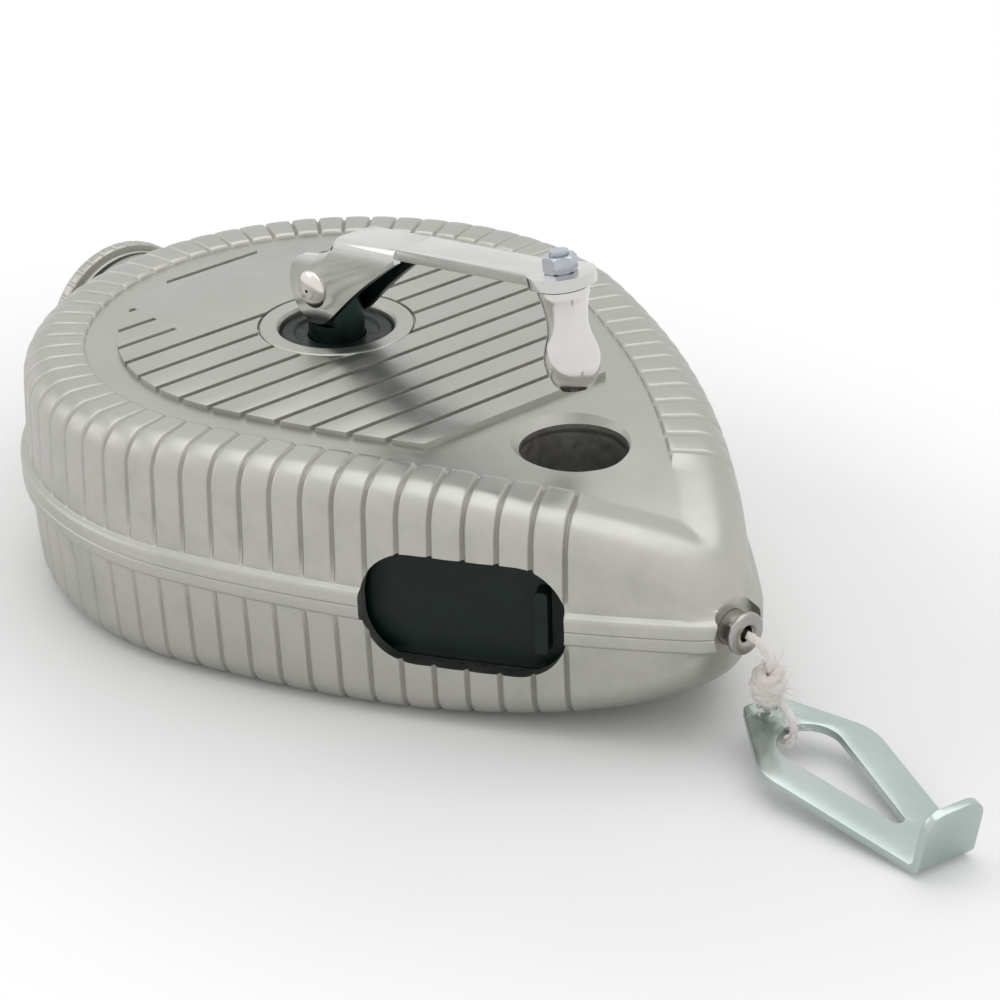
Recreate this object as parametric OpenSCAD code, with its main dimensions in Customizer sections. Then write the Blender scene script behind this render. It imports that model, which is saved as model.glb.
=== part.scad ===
// Chalk-line reel: a cast teardrop case in two halves, a hand-cranked line spool,
// a sliding chalk door, a filler plug and a flat hook on the end of the line.
// Millimetres. The hub axis is Z, the case stands on z = 0, and the nose points along +X.

/* [Case] */
// Radius of the round rear end
case_r = 45; // [42:0.5:52]
// Distance from the hub axis to the nose tip
nose_reach = 80.4; // [78:0.2:90]
// Radius of the nose tip seen from above
nose_r = 7.5; // [6.5:0.25:9]
// Radius of the long curved sides
side_r = 204; // [180:2:240]
// Height of the closed case
case_h = 34; // [34:1:40]
// Thickness of the side wall
wall = 2; // [1.6:0.1:2.6]
// Thickness of the top and bottom plates under their raised panels
plate_t = 2.2; // [1.8:0.1:2.6]
// Radius of the rounded rim
rim_r = 4.5; // [3.5:0.25:5.5]
// Lean of each wall from the bead to the rim
draft = 0.5; // [0.2:0.1:1]
// How far the bead on the parting line stands proud
bead_out = 1; // [0.6:0.1:1.6]
// Half height of the bead
bead_h = 2.2; // [1.6:0.1:3]
// Where the nose starts to fall away, from the hub axis
nose_fall = 29; // [24:0.5:36]
// Fullness of the falling nose, 2 is an ellipse
nose_full = 2.6; // [2:0.1:3.2]

/* [Grip pads] */
// Spacing of the pads along the rim
pad_pitch = 4.5; // [4:0.1:6]
// Width of the groove between two pads
pad_groove_w = 0.9; // [0.6:0.1:1.4]
// Depth of the groove between two pads
pad_groove_d = 0.5; // [0.3:0.05:0.6]
// How far the pads reach in over the plate
pad_reach = 9.5; // [8:0.25:11]
// Where the pads end on the curved side, from its rear tangent point
pad_end = 56.5; // [50:0.5:58]
// Step from the pads and the raised panel down to the smooth border
border_drop = 0.7; // [0.6:0.05:1]
// Width of the smooth border between the pads and the raised panel
border_w = 4.5; // [3:0.25:6]

/* [Top panel] */
// Spacing of the cross grooves
bar_pitch = 4.9; // [4:0.1:6]
// Width of a cross groove
bar_groove_w = 0.9; // [0.6:0.1:1.4]
// Front end of the raised panel
panel_front = 39; // [34:0.5:40]
// Near edge of the bare label field
label_edge = 17.5; // [14:0.5:22]

/* [Hub] */
// Radius of the raised ring round the hub
hub_ring_r = 11; // [10:0.25:13]
// Radius of the dark hub bush
bush_r = 8; // [7:0.25:9]
// Depth of the bush below the ring
bush_sunk = 1; // [0.5:0.1:1.5]
// Thickness of the bush flange
bush_flange_t = 1.2; // [0.8:0.1:2]
// Length of the bush body below its flange
bush_body_l = 2.4; // [1.6:0.1:3]
// Radius of the spindle
spindle_r = 4; // [3.5:0.1:4.5]
// Radius of the lower journal
journal_r = 3; // [2.4:0.1:3.4]

/* [Hanging hole] */
// Distance of the hanging hole from the hub axis
hang_x = 50; // [47:0.5:52]
// Radius of the hanging hole
hang_r = 7.25; // [6.5:0.25:8]
// Wall of the tube round the hole
hang_wall = 2; // [1.5:0.1:2.5]
// Width of the chamfer at each mouth
hang_chamfer = 1; // [0.6:0.1:1.4]

/* [Chalk door] */
// Length of the window along the side
window_l = 27.6; // [22:0.2:30]
// Height of the window
window_h = 16; // [12:0.5:16]
// Corner radius of the window
window_r = 7; // [4:0.25:7.5]
// Middle of the window on the curved side, from its rear tangent point
window_s = 42.8; // [40:0.2:44]
// Thickness of the door
door_t = 1.1; // [0.8:0.1:1.4]
// How far the door reaches past the window all round
door_lap = 0.8; // [0.6:0.1:1]
// Width of the finger lip
lip_w = 1.8; // [1.2:0.1:2.4]
// Height of the finger lip
lip_h = 9; // [6:0.5:11]
// Distance of the lip from the nose end of the window
lip_back = 3.4; // [2.5:0.1:5]

/* [Filler plug] */
// Radius of the plug flange
plug_r = 13; // [12.8:0.1:14]
// Thickness of the plug flange
plug_flange_t = 3.2; // [2.4:0.1:4]
// Outer radius of the neck
neck_r = 12; // [11:0.25:12.4]
// Bore radius of the neck
neck_bore_r = 9.6; // [8.5:0.1:10]
// How far the neck stands out behind the wall
neck_out = 7.2; // [5:0.2:9]
// Depth of the plug skirt inside the neck
skirt_l = 8.5; // [6:0.25:9]

/* [Line] */
// Diameter of the string
line_d = 1.2; // [1:0.1:1.5]
// Radius of the full winding
winding_r = 27.5; // [20:0.5:28]
// Radius of the spool flanges
flange_r = 30.5; // [29:0.25:31]
// Thickness of a spool flange
flange_t = 1.2; // [1:0.1:2]
// Radius of the spool core
core_r = 10; // [8:0.5:12]
// Radius of the eyelet barrel
eyelet_r = 2.4; // [2:0.1:2.8]
// Radius of the eyelet flange
eyelet_flange_r = 3.1; // [2.8:0.1:3.6]

/* [Crank] */
// Distance from the fold pin to the knob axis
crank_l = 50; // [49:0.5:51]
// Height of the fold pin above the top of the case
pin_above = 6.4; // [6:0.2:8]
// Height of the strap top above the fold pin, arm level
strap_up = 8.2; // [7:0.2:9]
// Thickness of the strap
strap_t = 1.6; // [1.2:0.1:2]
// Radius of the round end of the strap
eye_r = 4.7; // [4:0.1:5.2]
// Angle at which the arm rests above level
crank_rest = 9; // [5:1:15]
// Thickness of an ear of the fork
ear_t = 1.1; // [0.9:0.1:1.4]
// Radius of an ear round the pin
ear_r = 4.8; // [4:0.1:5.2]
// Thickness of the spindle head between the ears
head_t = 5.2; // [4.6:0.1:6]
// Radius of the fold pin
fold_pin_r = 1.5; // [1.2:0.1:1.8]
// Radius of the rivet heads on the fold pin
rivet_r = 2.6; // [2.2:0.1:3]

/* [Knob] */
// Length of the knob
knob_l = 13.5; // [11:0.25:14]
// Radius at the top flange
knob_top_r = 3.4; // [2.8:0.1:3.6]
// Radius at the waist
knob_waist_r = 2.7; // [2.4:0.1:3]
// Radius at the belly
knob_belly_r = 3.7; // [3.2:0.1:4]
// Radius at the lower end
knob_end_r = 2.3; // [2.2:0.1:3]
// Radius of the screw that the knob turns on
knob_screw_r = 1.25; // [1:0.05:1.5]

/* [Hook] */
// Thickness of the hook plate
hook_t = 1.2; // [1:0.1:1.6]
// Half width of the hook at its knees
hook_knee = 8.75; // [7.5:0.25:9.5]
// Half width of the narrow end
hook_narrow = 3; // [2.8:0.1:4]
// Half width of the tab
hook_tab_w = 4.4; // [3.5:0.1:5]
// Distance from the string hole to the tab
hook_l = 35.6; // [33:0.2:38]
// Height of the tab
hook_tab_h = 9.75; // [7:0.25:10]
// Outward lean of the tab
hook_tab_lean = 6; // [0:1:12]
// Radius of the string hole
hook_hole_r = 1.3; // [1.2:0.05:1.6]

/* [Hidden] */
$fn = 64;

// Clearances
run_gap = 0.05;
slide_gap = 0.1;
seat_gap = 0.2;
free_gap = 0.4;
cut_over = 1;
lap = 0.4;

// Plan of the case: a rear circle, two long side arcs tangent to it, and a nose circle
half_h = case_h / 2;
nose_x = nose_reach - nose_r;
side_cx = (pow(side_r - case_r, 2) - pow(side_r - nose_r, 2) + pow(nose_x, 2)) / (2 * nose_x);
side_cy = sqrt(pow(side_r - case_r, 2) - pow(side_cx, 2));
side_c = [side_cx, side_cy];
side_a0 = atan2(-side_cy, -side_cx);
deg = 180 / PI;
function side_angle(s) = side_a0 + s / side_r * deg;
function nose_angle(x) = atan2(-side_cy, x - side_cx);

// Inside the nose radius an inset outline keeps this small nose circle
nose_min_r = 0.5;
function inset_nose_r(d) = max(nose_r - d, nose_min_r);
function inset_nose_x(d) = side_cx + sqrt(pow(side_r - d - inset_nose_r(d), 2) - pow(side_cy, 2));

// Stations along the near half of the outline, from the rear to the nose tip:
// [kind, angle or share, groove], where kind 0 is the rear circle, 1 the padded side,
// 2 the plain side in front of the pads and 3 the nose circle
rear_len = case_r * (180 + side_a0) / deg;
pad_count = round((rear_len + pad_end) / pad_pitch);
pad_step = (rear_len + pad_end) / pad_count;
function station(t, groove) = t <= rear_len
    ? [0, 180 + t / case_r * deg, groove]
    : [1, side_angle(t - rear_len), groove];
nose_steps = 5;
side_steps = 3;
half_stations = [
    for (k = [0 : pad_count], j = [-1 : 1])
        if (k > 0 || j >= 0) station(k * pad_step + j * pad_groove_w / 2, j == 0 ? 1 : 0),
    for (i = [1 : side_steps - 1]) [2, i / side_steps, 0],
    for (i = [0 : nose_steps]) [3, i / nose_steps, 0]
];
half_n = len(half_stations);
ring_n = 2 * half_n - 2;

function foot(st, d) =
    st[0] == 0 ? (case_r - d) * [cos(st[1]), sin(st[1])] :
    st[0] == 1 ? side_c + (side_r - d) * [cos(st[1]), sin(st[1])] :
    let (a0 = side_angle(pad_end), a1 = nose_angle(inset_nose_x(d)))
    st[0] == 2
        ? let (a = a0 + st[1] * (a1 - a0)) side_c + (side_r - d) * [cos(a), sin(a)]
        : let (a = a1 * (1 - st[1])) [inset_nose_x(d), 0] + inset_nose_r(d) * [cos(a), sin(a)];
function mirror_y(p) = [p[0], -p[1], p[2]];

// Height of the top above the parting plane, falling towards the nose
function top_z(x) = x <= nose_fall ? half_h
    : half_h * pow(max(1 - pow((x - nose_fall) / (nose_reach - nose_fall), nose_full), 0), 1 / nose_full);

// Section of the rim from the bead over the pads and back along the inner wall:
// [inset, groove inset, kind of height, drop, groove drop]
rim_steps = 3;
inner_r = 1;
bead_round = 0.6;
wall_min = 0.3;
panel_t = plate_t + border_drop;
rim_rows = [
    [-bead_out, 0, "level", 0, 0],
    [-bead_out, 0, "level", bead_h - bead_round, 0],
    [0, pad_groove_d, "level", bead_h, 0],
    for (i = [0 : rim_steps])
        let (a = 90 * i / rim_steps)
        [draft + rim_r * (1 - cos(a)), pad_groove_d * cos(a), "top",
            rim_r * (1 - sin(a)), pad_groove_d * sin(a)],
    [pad_reach, 0, "top", 0, pad_groove_d],
    [pad_reach + border_drop / 2, 0, "top", panel_t + lap, 0],
    [wall + inner_r, 0, "top", panel_t + lap, 0],
    [wall, 0, "top", panel_t + lap + inner_r, 0],
    [wall, 0, "level", 0, 0]
];
row_n = len(rim_rows);
function rim_point(row, st, i) =
    let (p = foot(st, row[0] + st[2] * row[1]))
    let (z = row[2] == "level" ? row[3]
        : max(top_z(p[0]) - row[3] - st[2] * row[4], bead_h + wall_min * min(i, row_n - 2 - i)))
    [p[0], p[1], z];
function rim_ring(row, i) =
    let (near = [for (st = half_stations) rim_point(row, st, i)])
    concat(near, [for (j = [half_n - 2 : -1 : 1]) mirror_y(near[j])]);

// Plan outline with few points, for the plate, the panel and the border
outline_steps = 40;
function outline(d) =
    let (near = [
        for (i = [0 : outline_steps]) foot([0, 180 + (180 + side_a0) * i / outline_steps, 0], d),
        for (i = [1 : 8]) foot([1, side_angle(pad_end * i / 8), 0], d),
        for (i = [1 : side_steps - 1]) foot([2, i / side_steps, 0], d),
        for (i = [0 : nose_steps]) foot([3, i / nose_steps, 0], d)
    ])
    concat(near, [for (j = [len(near) - 2 : -1 : 1]) [near[j][0], -near[j][1]]]);

// Side profile of the plate
fall_steps = 14;
plate_lap = 1.5;
plate_front = nose_reach - wall - pad_reach + lap;
fall_x = [
    -case_r,
    for (i = [0 : fall_steps]) nose_fall + (plate_front - nose_fall) * i / fall_steps
];

// Reel heights
floor_z = panel_t;
boss_h = 2.4;
washer_t = 0.5;
boss_wall = 2.6;
lower_boss_r = journal_r + boss_wall;
core_z0 = floor_z + boss_h + washer_t + run_gap;
bush_z1 = case_h - bush_sunk;
bush_z0 = bush_z1 - bush_flange_t - bush_body_l;
bush_step = 1.5;
bush_body_r = bush_r - bush_step;
core_z1 = bush_z0 - washer_t - slide_gap;
flange_z0 = core_z0 + lap;
flange_z1 = core_z1 - lap;
drive_pin_r = 1;
drive_pin_up = 4;
drive_pin_z = core_z0 + drive_pin_up;

// Case screws
screw_r = 1.5;
screw_head_r = 2.5;
screw_head_t = 1.7;
screw_seat = 2;
screw_l = 23;
screw_boss_r = 3.2;
screw_at = case_r - 10;
screw_angles = [118, 158, 202, 242];

// Chalk door, on the circle of the near side
rail_t = 0.9;
rail_back_t = 1.2;
door_r1 = side_r - wall - slide_gap - rail_t;
door_r0 = door_r1 - door_t;
rail_r1 = side_r - wall - seat_gap;
rail_r0 = door_r0 - slide_gap - rail_back_t;
rail_floor = 0.5;
door_h = window_h + 2 * door_lap;
door_s0 = window_s - window_l / 2 - door_lap;
door_s1 = window_s + window_l / 2 + door_lap;
lip_s = window_s + window_l / 2 - lip_back;
lip_out = 2.4;
lip_stop = 1;
rail_past = 0.3;
door_travel = lip_s - lip_w / 2 - (window_s - window_l / 2) - lip_stop;
rail_s0 = door_s0 - door_travel - lip_stop;
rail_s1 = door_s1 + rail_past;
window_a = side_angle(window_s);
window_mid = side_c + side_r * [cos(window_a), sin(window_a)];

// Filler plug
neck_x = -case_r - neck_out;
neck_lap = 4;
neck_in = case_r - neck_lap;
skirt_r = neck_bore_r - slide_gap;
seal_t = 0.8;
seal_in = 0.3;
skirt_wall = 1.6;
plug_step = 1;

// Nose fittings
eyelet_bore_r = line_d / 2 + free_gap;
eyelet_z = half_h;
eyelet_in = 1.6;
eyelet_x0 = nose_reach - wall - eyelet_in;
eyelet_x1 = nose_reach + bead_out;
eyelet_flange_t = 0.8;
felt_l = 3.6;
felt_r = 3.6;
felt_x = eyelet_x0 - felt_l;

// The line leaves the winding, passes beside the tube of the hanging hole and bends into the felt
recess_r = eyelet_flange_r + 1;
recess_x = nose_reach - 0.6 * wall;
run_off = winding_r + line_d / 2 + free_gap;
run_x = felt_x - free_gap;
run_a = max(asin((hang_r + hang_wall + line_d / 2 + free_gap) / (run_x - hang_x)), asin(run_off / run_x));
run_l = (run_x - hang_x) * cos(run_a) + 2 * line_d;
run_turn = [run_x - run_l * cos(run_a), run_l * sin(run_a)];
run_b = asin(run_off / norm(run_turn)) - atan2(run_turn[1], run_turn[0]);
run_m = sqrt(pow(norm(run_turn), 2) - pow(run_off, 2));

// Crank
pin_z = case_h + pin_above;
ear_gap = 0.25;
ear_in = head_t / 2 + ear_gap;
ear_out = ear_in + ear_t;
ear_front_a = -60;
ear_back_a = 105;
strap_bottom = strap_up - strap_t;
strap_taper = 0.4;
web_x = 7.5;
web_end = 20;
web_cut_l = 3;
web_cut_h = 2.6;
head_over = 1.6;
collar_up = 1;
rivet_t = 1;

// Knob
knob_z1 = strap_bottom - washer_t;
knob_z0 = knob_z1 - knob_l;
knob_flange_t = 0.8;
knob_waist_at = 0.4;
knob_belly_at = 0.68;
knob_steps = 8;
knob_seat_up = 2.4;
knob_seat = knob_z0 + knob_seat_up;
knob_head_h = 1.2;
knob_head_over = 0.45;
screw_past = 0.6;
nut_r = 2.5;
nut_h = 2.2;

// Hook, in a frame with its string hole at the origin
eyelet_mouth = [eyelet_x1 + eyelet_flange_t, 0, eyelet_z];
hook_at = eyelet_mouth + [0.48, 3, -12.1];
hook_turn = -8.2;
bend_r = 0.6;
hook_steps = 6;
hook_end = hook_l - bend_r - hook_t;
hook_tilt = asin((hook_at[2] - hook_t / 2 - slide_gap) / (hook_l + hook_t));
knee_r = 7.5;
knee_l = 11.7;
narrow_r = 1;
narrow_l = -0.6;
pear_r0 = 4.35;
pear_l0 = 9.2;
pear_r1 = 0.9;
pear_l1 = 26.3;

// The free stretch of the string: down from the mouth of the eyelet, round a loop through the
// hook's hole and its opening, and back into the knot
tail_drop = [
    [0, 0, 0], [1.3, 0.05, -0.15], [2.45, 0.3, -1.05], [3, 0.75, -2.7], [2.8, 1.3, -4.9],
    [2.1, 1.9, -7.3], [1.1, 2.6, -9.9]
];
tail_back = [1.8, 1.9, -6.6];
loop_r = (pear_l0 - pear_r0 + line_d / 2 + free_gap) / 2;
tail_points = concat(
    [for (p = tail_drop) eyelet_mouth + p],
    [for (a = [180 : 45 : 450]) on_hook([loop_r * (1 + cos(a)) + slide_gap / 2, 0, loop_r * sin(a)])],
    [eyelet_mouth + tail_back]
);
tail_sides = 8;
knot_at = eyelet_mouth + [2, 1.8, -7];
knot_r = 1.9;
knot_l = 6.2;
knot_end = 22.5;
knot_lean = [14, 19];

// Shared shapes

// A tube swept along points, with rings square to the route
function unit(v) = v / norm(v);
function tangent_at(p, i) = unit(p[min(i + 1, len(p) - 1)] - p[max(i - 1, 0)]);
module swept_tube(points, radius, sides) {
    side_dir = [0, 1, 0];
    n = len(points);
    rings = [
        for (i = [0 : n - 1])
            let (t = tangent_at(points, i), u = unit(cross(t, side_dir)), v = cross(t, u))
            for (k = [0 : sides - 1])
                points[i] + radius * (cos(360 * k / sides) * u + sin(360 * k / sides) * v)
    ];
    faces = concat(
        [[for (k = [0 : sides - 1]) k]],
        [[for (k = [sides - 1 : -1 : 0]) (n - 1) * sides + k]],
        [for (i = [0 : n - 2], k = [0 : sides - 1])
            let (a = i * sides + k, b = i * sides + (k + 1) % sides) [a, a + sides, b]],
        [for (i = [0 : n - 2], k = [0 : sides - 1])
            let (a = i * sides + k, b = i * sides + (k + 1) % sides) [b, a + sides, b + sides]]
    );
    polyhedron(rings, faces);
}

// Points of an arc from angle a0 to a1, in n steps
function arc(c, r, a0, a1, n) = [
    for (i = [0 : n]) let (a = a0 + (a1 - a0) * i / n) c + r * [cos(a), sin(a)]
];

// Angle at which the straight flank on the left of the way from c1 to c2 touches both circles
function flank(c1, r1, c2, r2) =
    let (way = c2 - c1) atan2(way[1], way[0]) + acos((r1 - r2) / norm(way));

module tube(r1, r0, h) {
    difference() {
        cylinder(r = r1, h = h);
        translate([0, 0, -cut_over]) cylinder(r = r0, h = h + 2 * cut_over);
    }
}

// A band of the near side's circle, from s0 to s1 along the side, between two radii and heights
module side_band(s0, s1, r0, r1, z0, z1) {
    translate([side_c[0], side_c[1], 0])
        rotate([0, 0, side_angle(s0)])
            rotate_extrude(angle = (s1 - s0) / side_r * deg, $fn = 360)
                translate([r0, z0]) square([r1 - r0, z1 - z0]);
}

// The tube of the hanging hole ends inside the falling plate: between the plate's underside at
// the rear of the tube and its upper side at the front
hang_rear = hang_x - hang_r - hang_wall;
hang_front = hang_x + hang_r + hang_wall;
hang_h = (top_z(hang_rear) - panel_t + top_z(hang_front) - border_drop) / 2;

// Half of the case above the parting plane, in its own frame with the parting plane at z = 0
module rim_body() {
    points = [for (i = [0 : row_n - 1]) each rim_ring(rim_rows[i], i)];
    faces = [
        for (i = [0 : row_n - 1], j = [0 : ring_n - 1], half = [0, 1])
            let (a = i * ring_n + j, b = i * ring_n + (j + 1) % ring_n)
            let (c = ((i + 1) % row_n) * ring_n + j, d = ((i + 1) % row_n) * ring_n + (j + 1) % ring_n)
            half == 0 ? [a, c, b] : [b, c, d]
    ];
    polyhedron(points, faces);
}

module plate_body() {
    upper = [for (x = fall_x) [x, top_z(x) - border_drop]];
    lower = [for (i = [len(fall_x) - 1 : -1 : 0]) [fall_x[i], top_z(fall_x[i]) - panel_t]];
    intersection() {
        linear_extrude(half_h) polygon(outline(pad_reach - plate_lap));
        rotate([90, 0, 0]) linear_extrude(3 * case_r, center = true) polygon(concat(upper, lower));
    }
}

// Raised panel, with cross grooves when it is grooved; the grooves from the second to the
// label_last stop short of the bare label field
first_bar = -6;
label_last = -3;
last_bar = 8;
function bar_is_full(k) = k == first_bar || k > label_last;
module panel_2d(grooved) {
    reach = 2 * case_r;
    difference() {
        intersection() {
            polygon(outline(pad_reach + border_w));
            translate([-reach, -reach]) square([reach + panel_front, 2 * reach]);
        }
        if (grooved)
            for (k = [first_bar : last_bar])
                translate([k * bar_pitch - bar_groove_w / 2, -reach])
                    square([bar_groove_w, bar_is_full(k) ? 2 * reach : reach - label_edge]);
    }
}

module half_case(grooved) {
    difference() {
        union() {
            rim_body();
            plate_body();
            translate([0, 0, half_h - border_drop - lap])
                linear_extrude(border_drop + lap) panel_2d(grooved);
            translate([hang_x, 0, 0]) cylinder(r = hang_r + hang_wall, h = hang_h);
            intersection() {
                translate([neck_x, 0, 0]) rotate([0, 90, 0]) cylinder(r = neck_r, h = -neck_in - neck_x);
                translate([neck_x - cut_over, -case_r, 0]) cube([case_r, 2 * case_r, half_h]);
            }
            for (a = screw_angles)
                rotate([0, 0, a]) translate([screw_at, 0, 0])
                    cylinder(r = screw_boss_r, h = half_h - panel_t + lap);
        }
        translate([hang_x, 0, -cut_over]) cylinder(r = hang_r, h = half_h + 2 * cut_over);
        translate([hang_x, 0, half_h - border_drop - hang_chamfer - lap])
            cylinder(r1 = hang_r, r2 = hang_r + 2 * hang_chamfer, h = 2 * hang_chamfer);
        translate([neck_x - cut_over, 0, 0])
            rotate([0, 90, 0]) cylinder(r = neck_bore_r, h = -neck_in - neck_x + 2 * cut_over);
        translate([eyelet_x0 - cut_over, 0, 0])
            rotate([0, 90, 0]) cylinder(r = eyelet_r + run_gap, h = nose_reach);
        translate([recess_x, 0, 0]) rotate([0, 90, 0]) cylinder(r = recess_r, h = nose_reach);
        window_cut();
    }
}

// Straight cut through the near side, square to it at the middle of the window
module window_cut() {
    depth = wall + 2 * bead_out + 2 * cut_over;
    translate([window_mid[0], window_mid[1], 0])
        rotate([0, 0, window_a])
            rotate([90, 0, 90])
                translate([0, 0, -wall - 2 * cut_over])
                    linear_extrude(depth) {
                        for (sx = [-1, 1], sy = [-1, 1])
                            translate([sx * (window_l / 2 - window_r), sy * (window_h / 2 - window_r)])
                                circle(window_r);
                        square([window_l, window_h - 2 * window_r], center = true);
                        square([window_l - 2 * window_r, window_h], center = true);
                    }
}

// Case

module top_shell() {
    color("#b6b8ae")
    difference() {
        union() {
            translate([0, 0, half_h]) half_case(true);
            translate([0, 0, bush_z0 + washer_t]) cylinder(r = hub_ring_r, h = case_h - bush_z0 - washer_t);
        }
        translate([0, 0, bush_z1 - bush_flange_t]) cylinder(r = bush_r + run_gap, h = case_h);
        translate([0, 0, bush_z0 - cut_over]) cylinder(r = bush_body_r + run_gap, h = case_h);
        for (a = screw_angles)
            rotate([0, 0, a]) translate([screw_at, 0, half_h - cut_over])
                cylinder(r = screw_r + run_gap, h = screw_seat + screw_l - half_h + 2 * cut_over);
    }
}

module bottom_shell() {
    color("#aeb0a6")
    difference() {
        union() {
            translate([0, 0, half_h]) mirror([0, 0, 1]) half_case(false);
            translate([0, 0, floor_z - lap]) cylinder(r = lower_boss_r, h = boss_h + lap);
        }
        translate([0, 0, floor_z - lap]) cylinder(r = journal_r + run_gap, h = half_h);
        for (a = screw_angles)
            rotate([0, 0, a]) translate([screw_at, 0, -cut_over]) {
                cylinder(r = screw_r + slide_gap, h = case_h);
                cylinder(r = screw_head_r + slide_gap, h = screw_seat + cut_over);
            }
    }
}

module case_screws() {
    color("#9a9c98")
    for (a = screw_angles)
        rotate([0, 0, a]) translate([screw_at, 0, screw_seat]) {
            cylinder(r = screw_r, h = screw_l);
            translate([0, 0, -screw_head_t]) cylinder(r = screw_head_r, h = screw_head_t);
        }
}

module hub_bush() {
    color("#26332c")
    difference() {
        union() {
            translate([0, 0, bush_z0]) cylinder(r = bush_body_r, h = bush_body_l + lap);
            translate([0, 0, bush_z1 - bush_flange_t]) cylinder(r = bush_r, h = bush_flange_t);
        }
        translate([0, 0, bush_z0 - cut_over]) cylinder(r = spindle_r + run_gap, h = case_h);
    }
}

module door_rails() {
    color("#8d8f88")
    for (up = [0, 1])
        translate([0, 0, up * case_h]) mirror([0, 0, up])
            translate([0, 0, half_h - door_h / 2])
                difference() {
                    side_band(rail_s0, rail_s1, rail_r0, rail_r1, -rail_floor - slide_gap, door_lap);
                    side_band(rail_s0 - cut_over, rail_s1 + cut_over,
                        door_r0 - slide_gap, door_r1 + slide_gap, -slide_gap, case_h);
                }
}

module line_eyelet() {
    color("#c9cbc6")
    translate([0, 0, eyelet_z]) rotate([0, 90, 0])
    difference() {
        union() {
            translate([0, 0, eyelet_x0]) cylinder(r = eyelet_r, h = eyelet_x1 - eyelet_x0);
            translate([0, 0, eyelet_x1]) cylinder(r = eyelet_flange_r, h = eyelet_flange_t);
        }
        translate([0, 0, eyelet_x0 - cut_over]) cylinder(r = eyelet_bore_r, h = nose_reach);
    }
}

module felt_wiper() {
    color("#d8d2c4")
    translate([felt_x, 0, eyelet_z])
        rotate([0, 90, 0]) tube(felt_r, line_d / 2 + run_gap, felt_l);
}

module line_run() {
    color("#e9e4dc")
    swept_tube([
        [eyelet_x1 - free_gap, 0, eyelet_z], [run_x, 0, eyelet_z], [run_turn[0], run_turn[1], eyelet_z],
        [run_turn[0] - run_m * cos(run_b), run_turn[1] + run_m * sin(run_b), eyelet_z]
    ], line_d / 2, tail_sides);
}

// Reel

module spindle() {
    color("#c4c6c2")
    difference() {
        union() {
            translate([0, 0, floor_z - lap + run_gap])
                cylinder(r = journal_r, h = boss_h + 2 * lap + washer_t);
            translate([0, 0, core_z0]) cylinder(r = spindle_r, h = case_h + collar_up - core_z0);
            intersection() {
                translate([0, 0, core_z0])
                    cylinder(r = spindle_r, h = pin_z + fold_pin_r + head_over - core_z0);
                translate([-spindle_r, -head_t / 2, 0]) cube([2 * spindle_r, head_t, 2 * case_h]);
            }
        }
        translate([0, case_r, pin_z]) rotate([90, 0, 0]) cylinder(r = fold_pin_r + run_gap, h = 2 * case_r);
        drive_pin_cut(run_gap);
    }
}

module drive_pin_cut(gap) {
    translate([-core_r - cut_over, 0, drive_pin_z])
        rotate([0, 90, 0]) cylinder(r = drive_pin_r + gap, h = 2 * (core_r + cut_over));
}

module drive_pin() {
    color("#8f918d")
    translate([-core_r + free_gap, 0, drive_pin_z])
        rotate([0, 90, 0]) cylinder(r = drive_pin_r, h = 2 * (core_r - free_gap));
}

module spool_core() {
    color("#3a3d3b")
    difference() {
        translate([0, 0, core_z0]) tube(core_r, spindle_r + run_gap, core_z1 - core_z0);
        drive_pin_cut(run_gap);
    }
}

module upper_flange() {
    color("#4a4d4a")
    translate([0, 0, flange_z1 - flange_t]) tube(flange_r, core_r + run_gap, flange_t);
}

module lower_flange() {
    color("#4a4d4a")
    translate([0, 0, flange_z0]) tube(flange_r, core_r + run_gap, flange_t);
}

module wound_line() {
    color("#e4dfd6")
    translate([0, 0, flange_z0 + flange_t + run_gap])
        tube(winding_r, core_r + run_gap, flange_z1 - flange_z0 - 2 * flange_t - 2 * run_gap);
}

module lower_washer() {
    color("#a8aaa6")
    translate([0, 0, floor_z + boss_h]) tube(lower_boss_r, journal_r + slide_gap, washer_t);
}

module upper_washer() {
    color("#a8aaa6")
    translate([0, 0, core_z1 + run_gap]) tube(bush_body_r, spindle_r + slide_gap, washer_t);
}

// Crank, drawn level with the fold pin at the origin and then raised to its rest angle

module at_crank() {
    translate([0, 0, pin_z]) rotate([0, -crank_rest, 0]) children();
}

module ear_2d() {
    circle(ear_r);
    polygon([
        [-ear_r, 0], ear_r * [cos(ear_front_a), sin(ear_front_a)],
        [web_end, strap_bottom], [web_end, strap_up], [web_x, strap_up],
        [web_x - web_cut_l, strap_up - web_cut_h], ear_r * [cos(ear_back_a), sin(ear_back_a)]
    ]);
}

module crank_arm() {
    color("#d4d6d2")
    at_crank() difference() {
        union() {
            for (side = [-1, 1])
                translate([0, side * (ear_in + ear_out) / 2 + ear_t / 2, 0])
                    rotate([90, 0, 0]) linear_extrude(ear_t) ear_2d();
            translate([0, 0, strap_bottom]) linear_extrude(strap_t) {
                translate([web_x, -ear_out]) square([web_end - web_x, 2 * ear_out]);
                translate([crank_l, 0]) circle(eye_r);
                polygon([
                    [web_end, -ear_out], [crank_l, strap_taper - ear_out],
                    [crank_l, ear_out - strap_taper], [web_end, ear_out]
                ]);
            }
        }
        translate([0, case_r, 0]) rotate([90, 0, 0]) cylinder(r = fold_pin_r + run_gap, h = 2 * case_r);
        translate([crank_l, 0, 0]) cylinder(r = knob_screw_r + run_gap, h = case_h);
    }
}

module fold_pin() {
    color("#d9cfc8")
    at_crank() rotate([90, 0, 0]) {
        translate([0, 0, -ear_out]) cylinder(r = fold_pin_r, h = 2 * ear_out);
        translate([0, 0, ear_out]) cylinder(r = rivet_r, h = rivet_t);
        translate([0, 0, -ear_out - rivet_t]) cylinder(r = rivet_r, h = rivet_t);
    }
}

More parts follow.
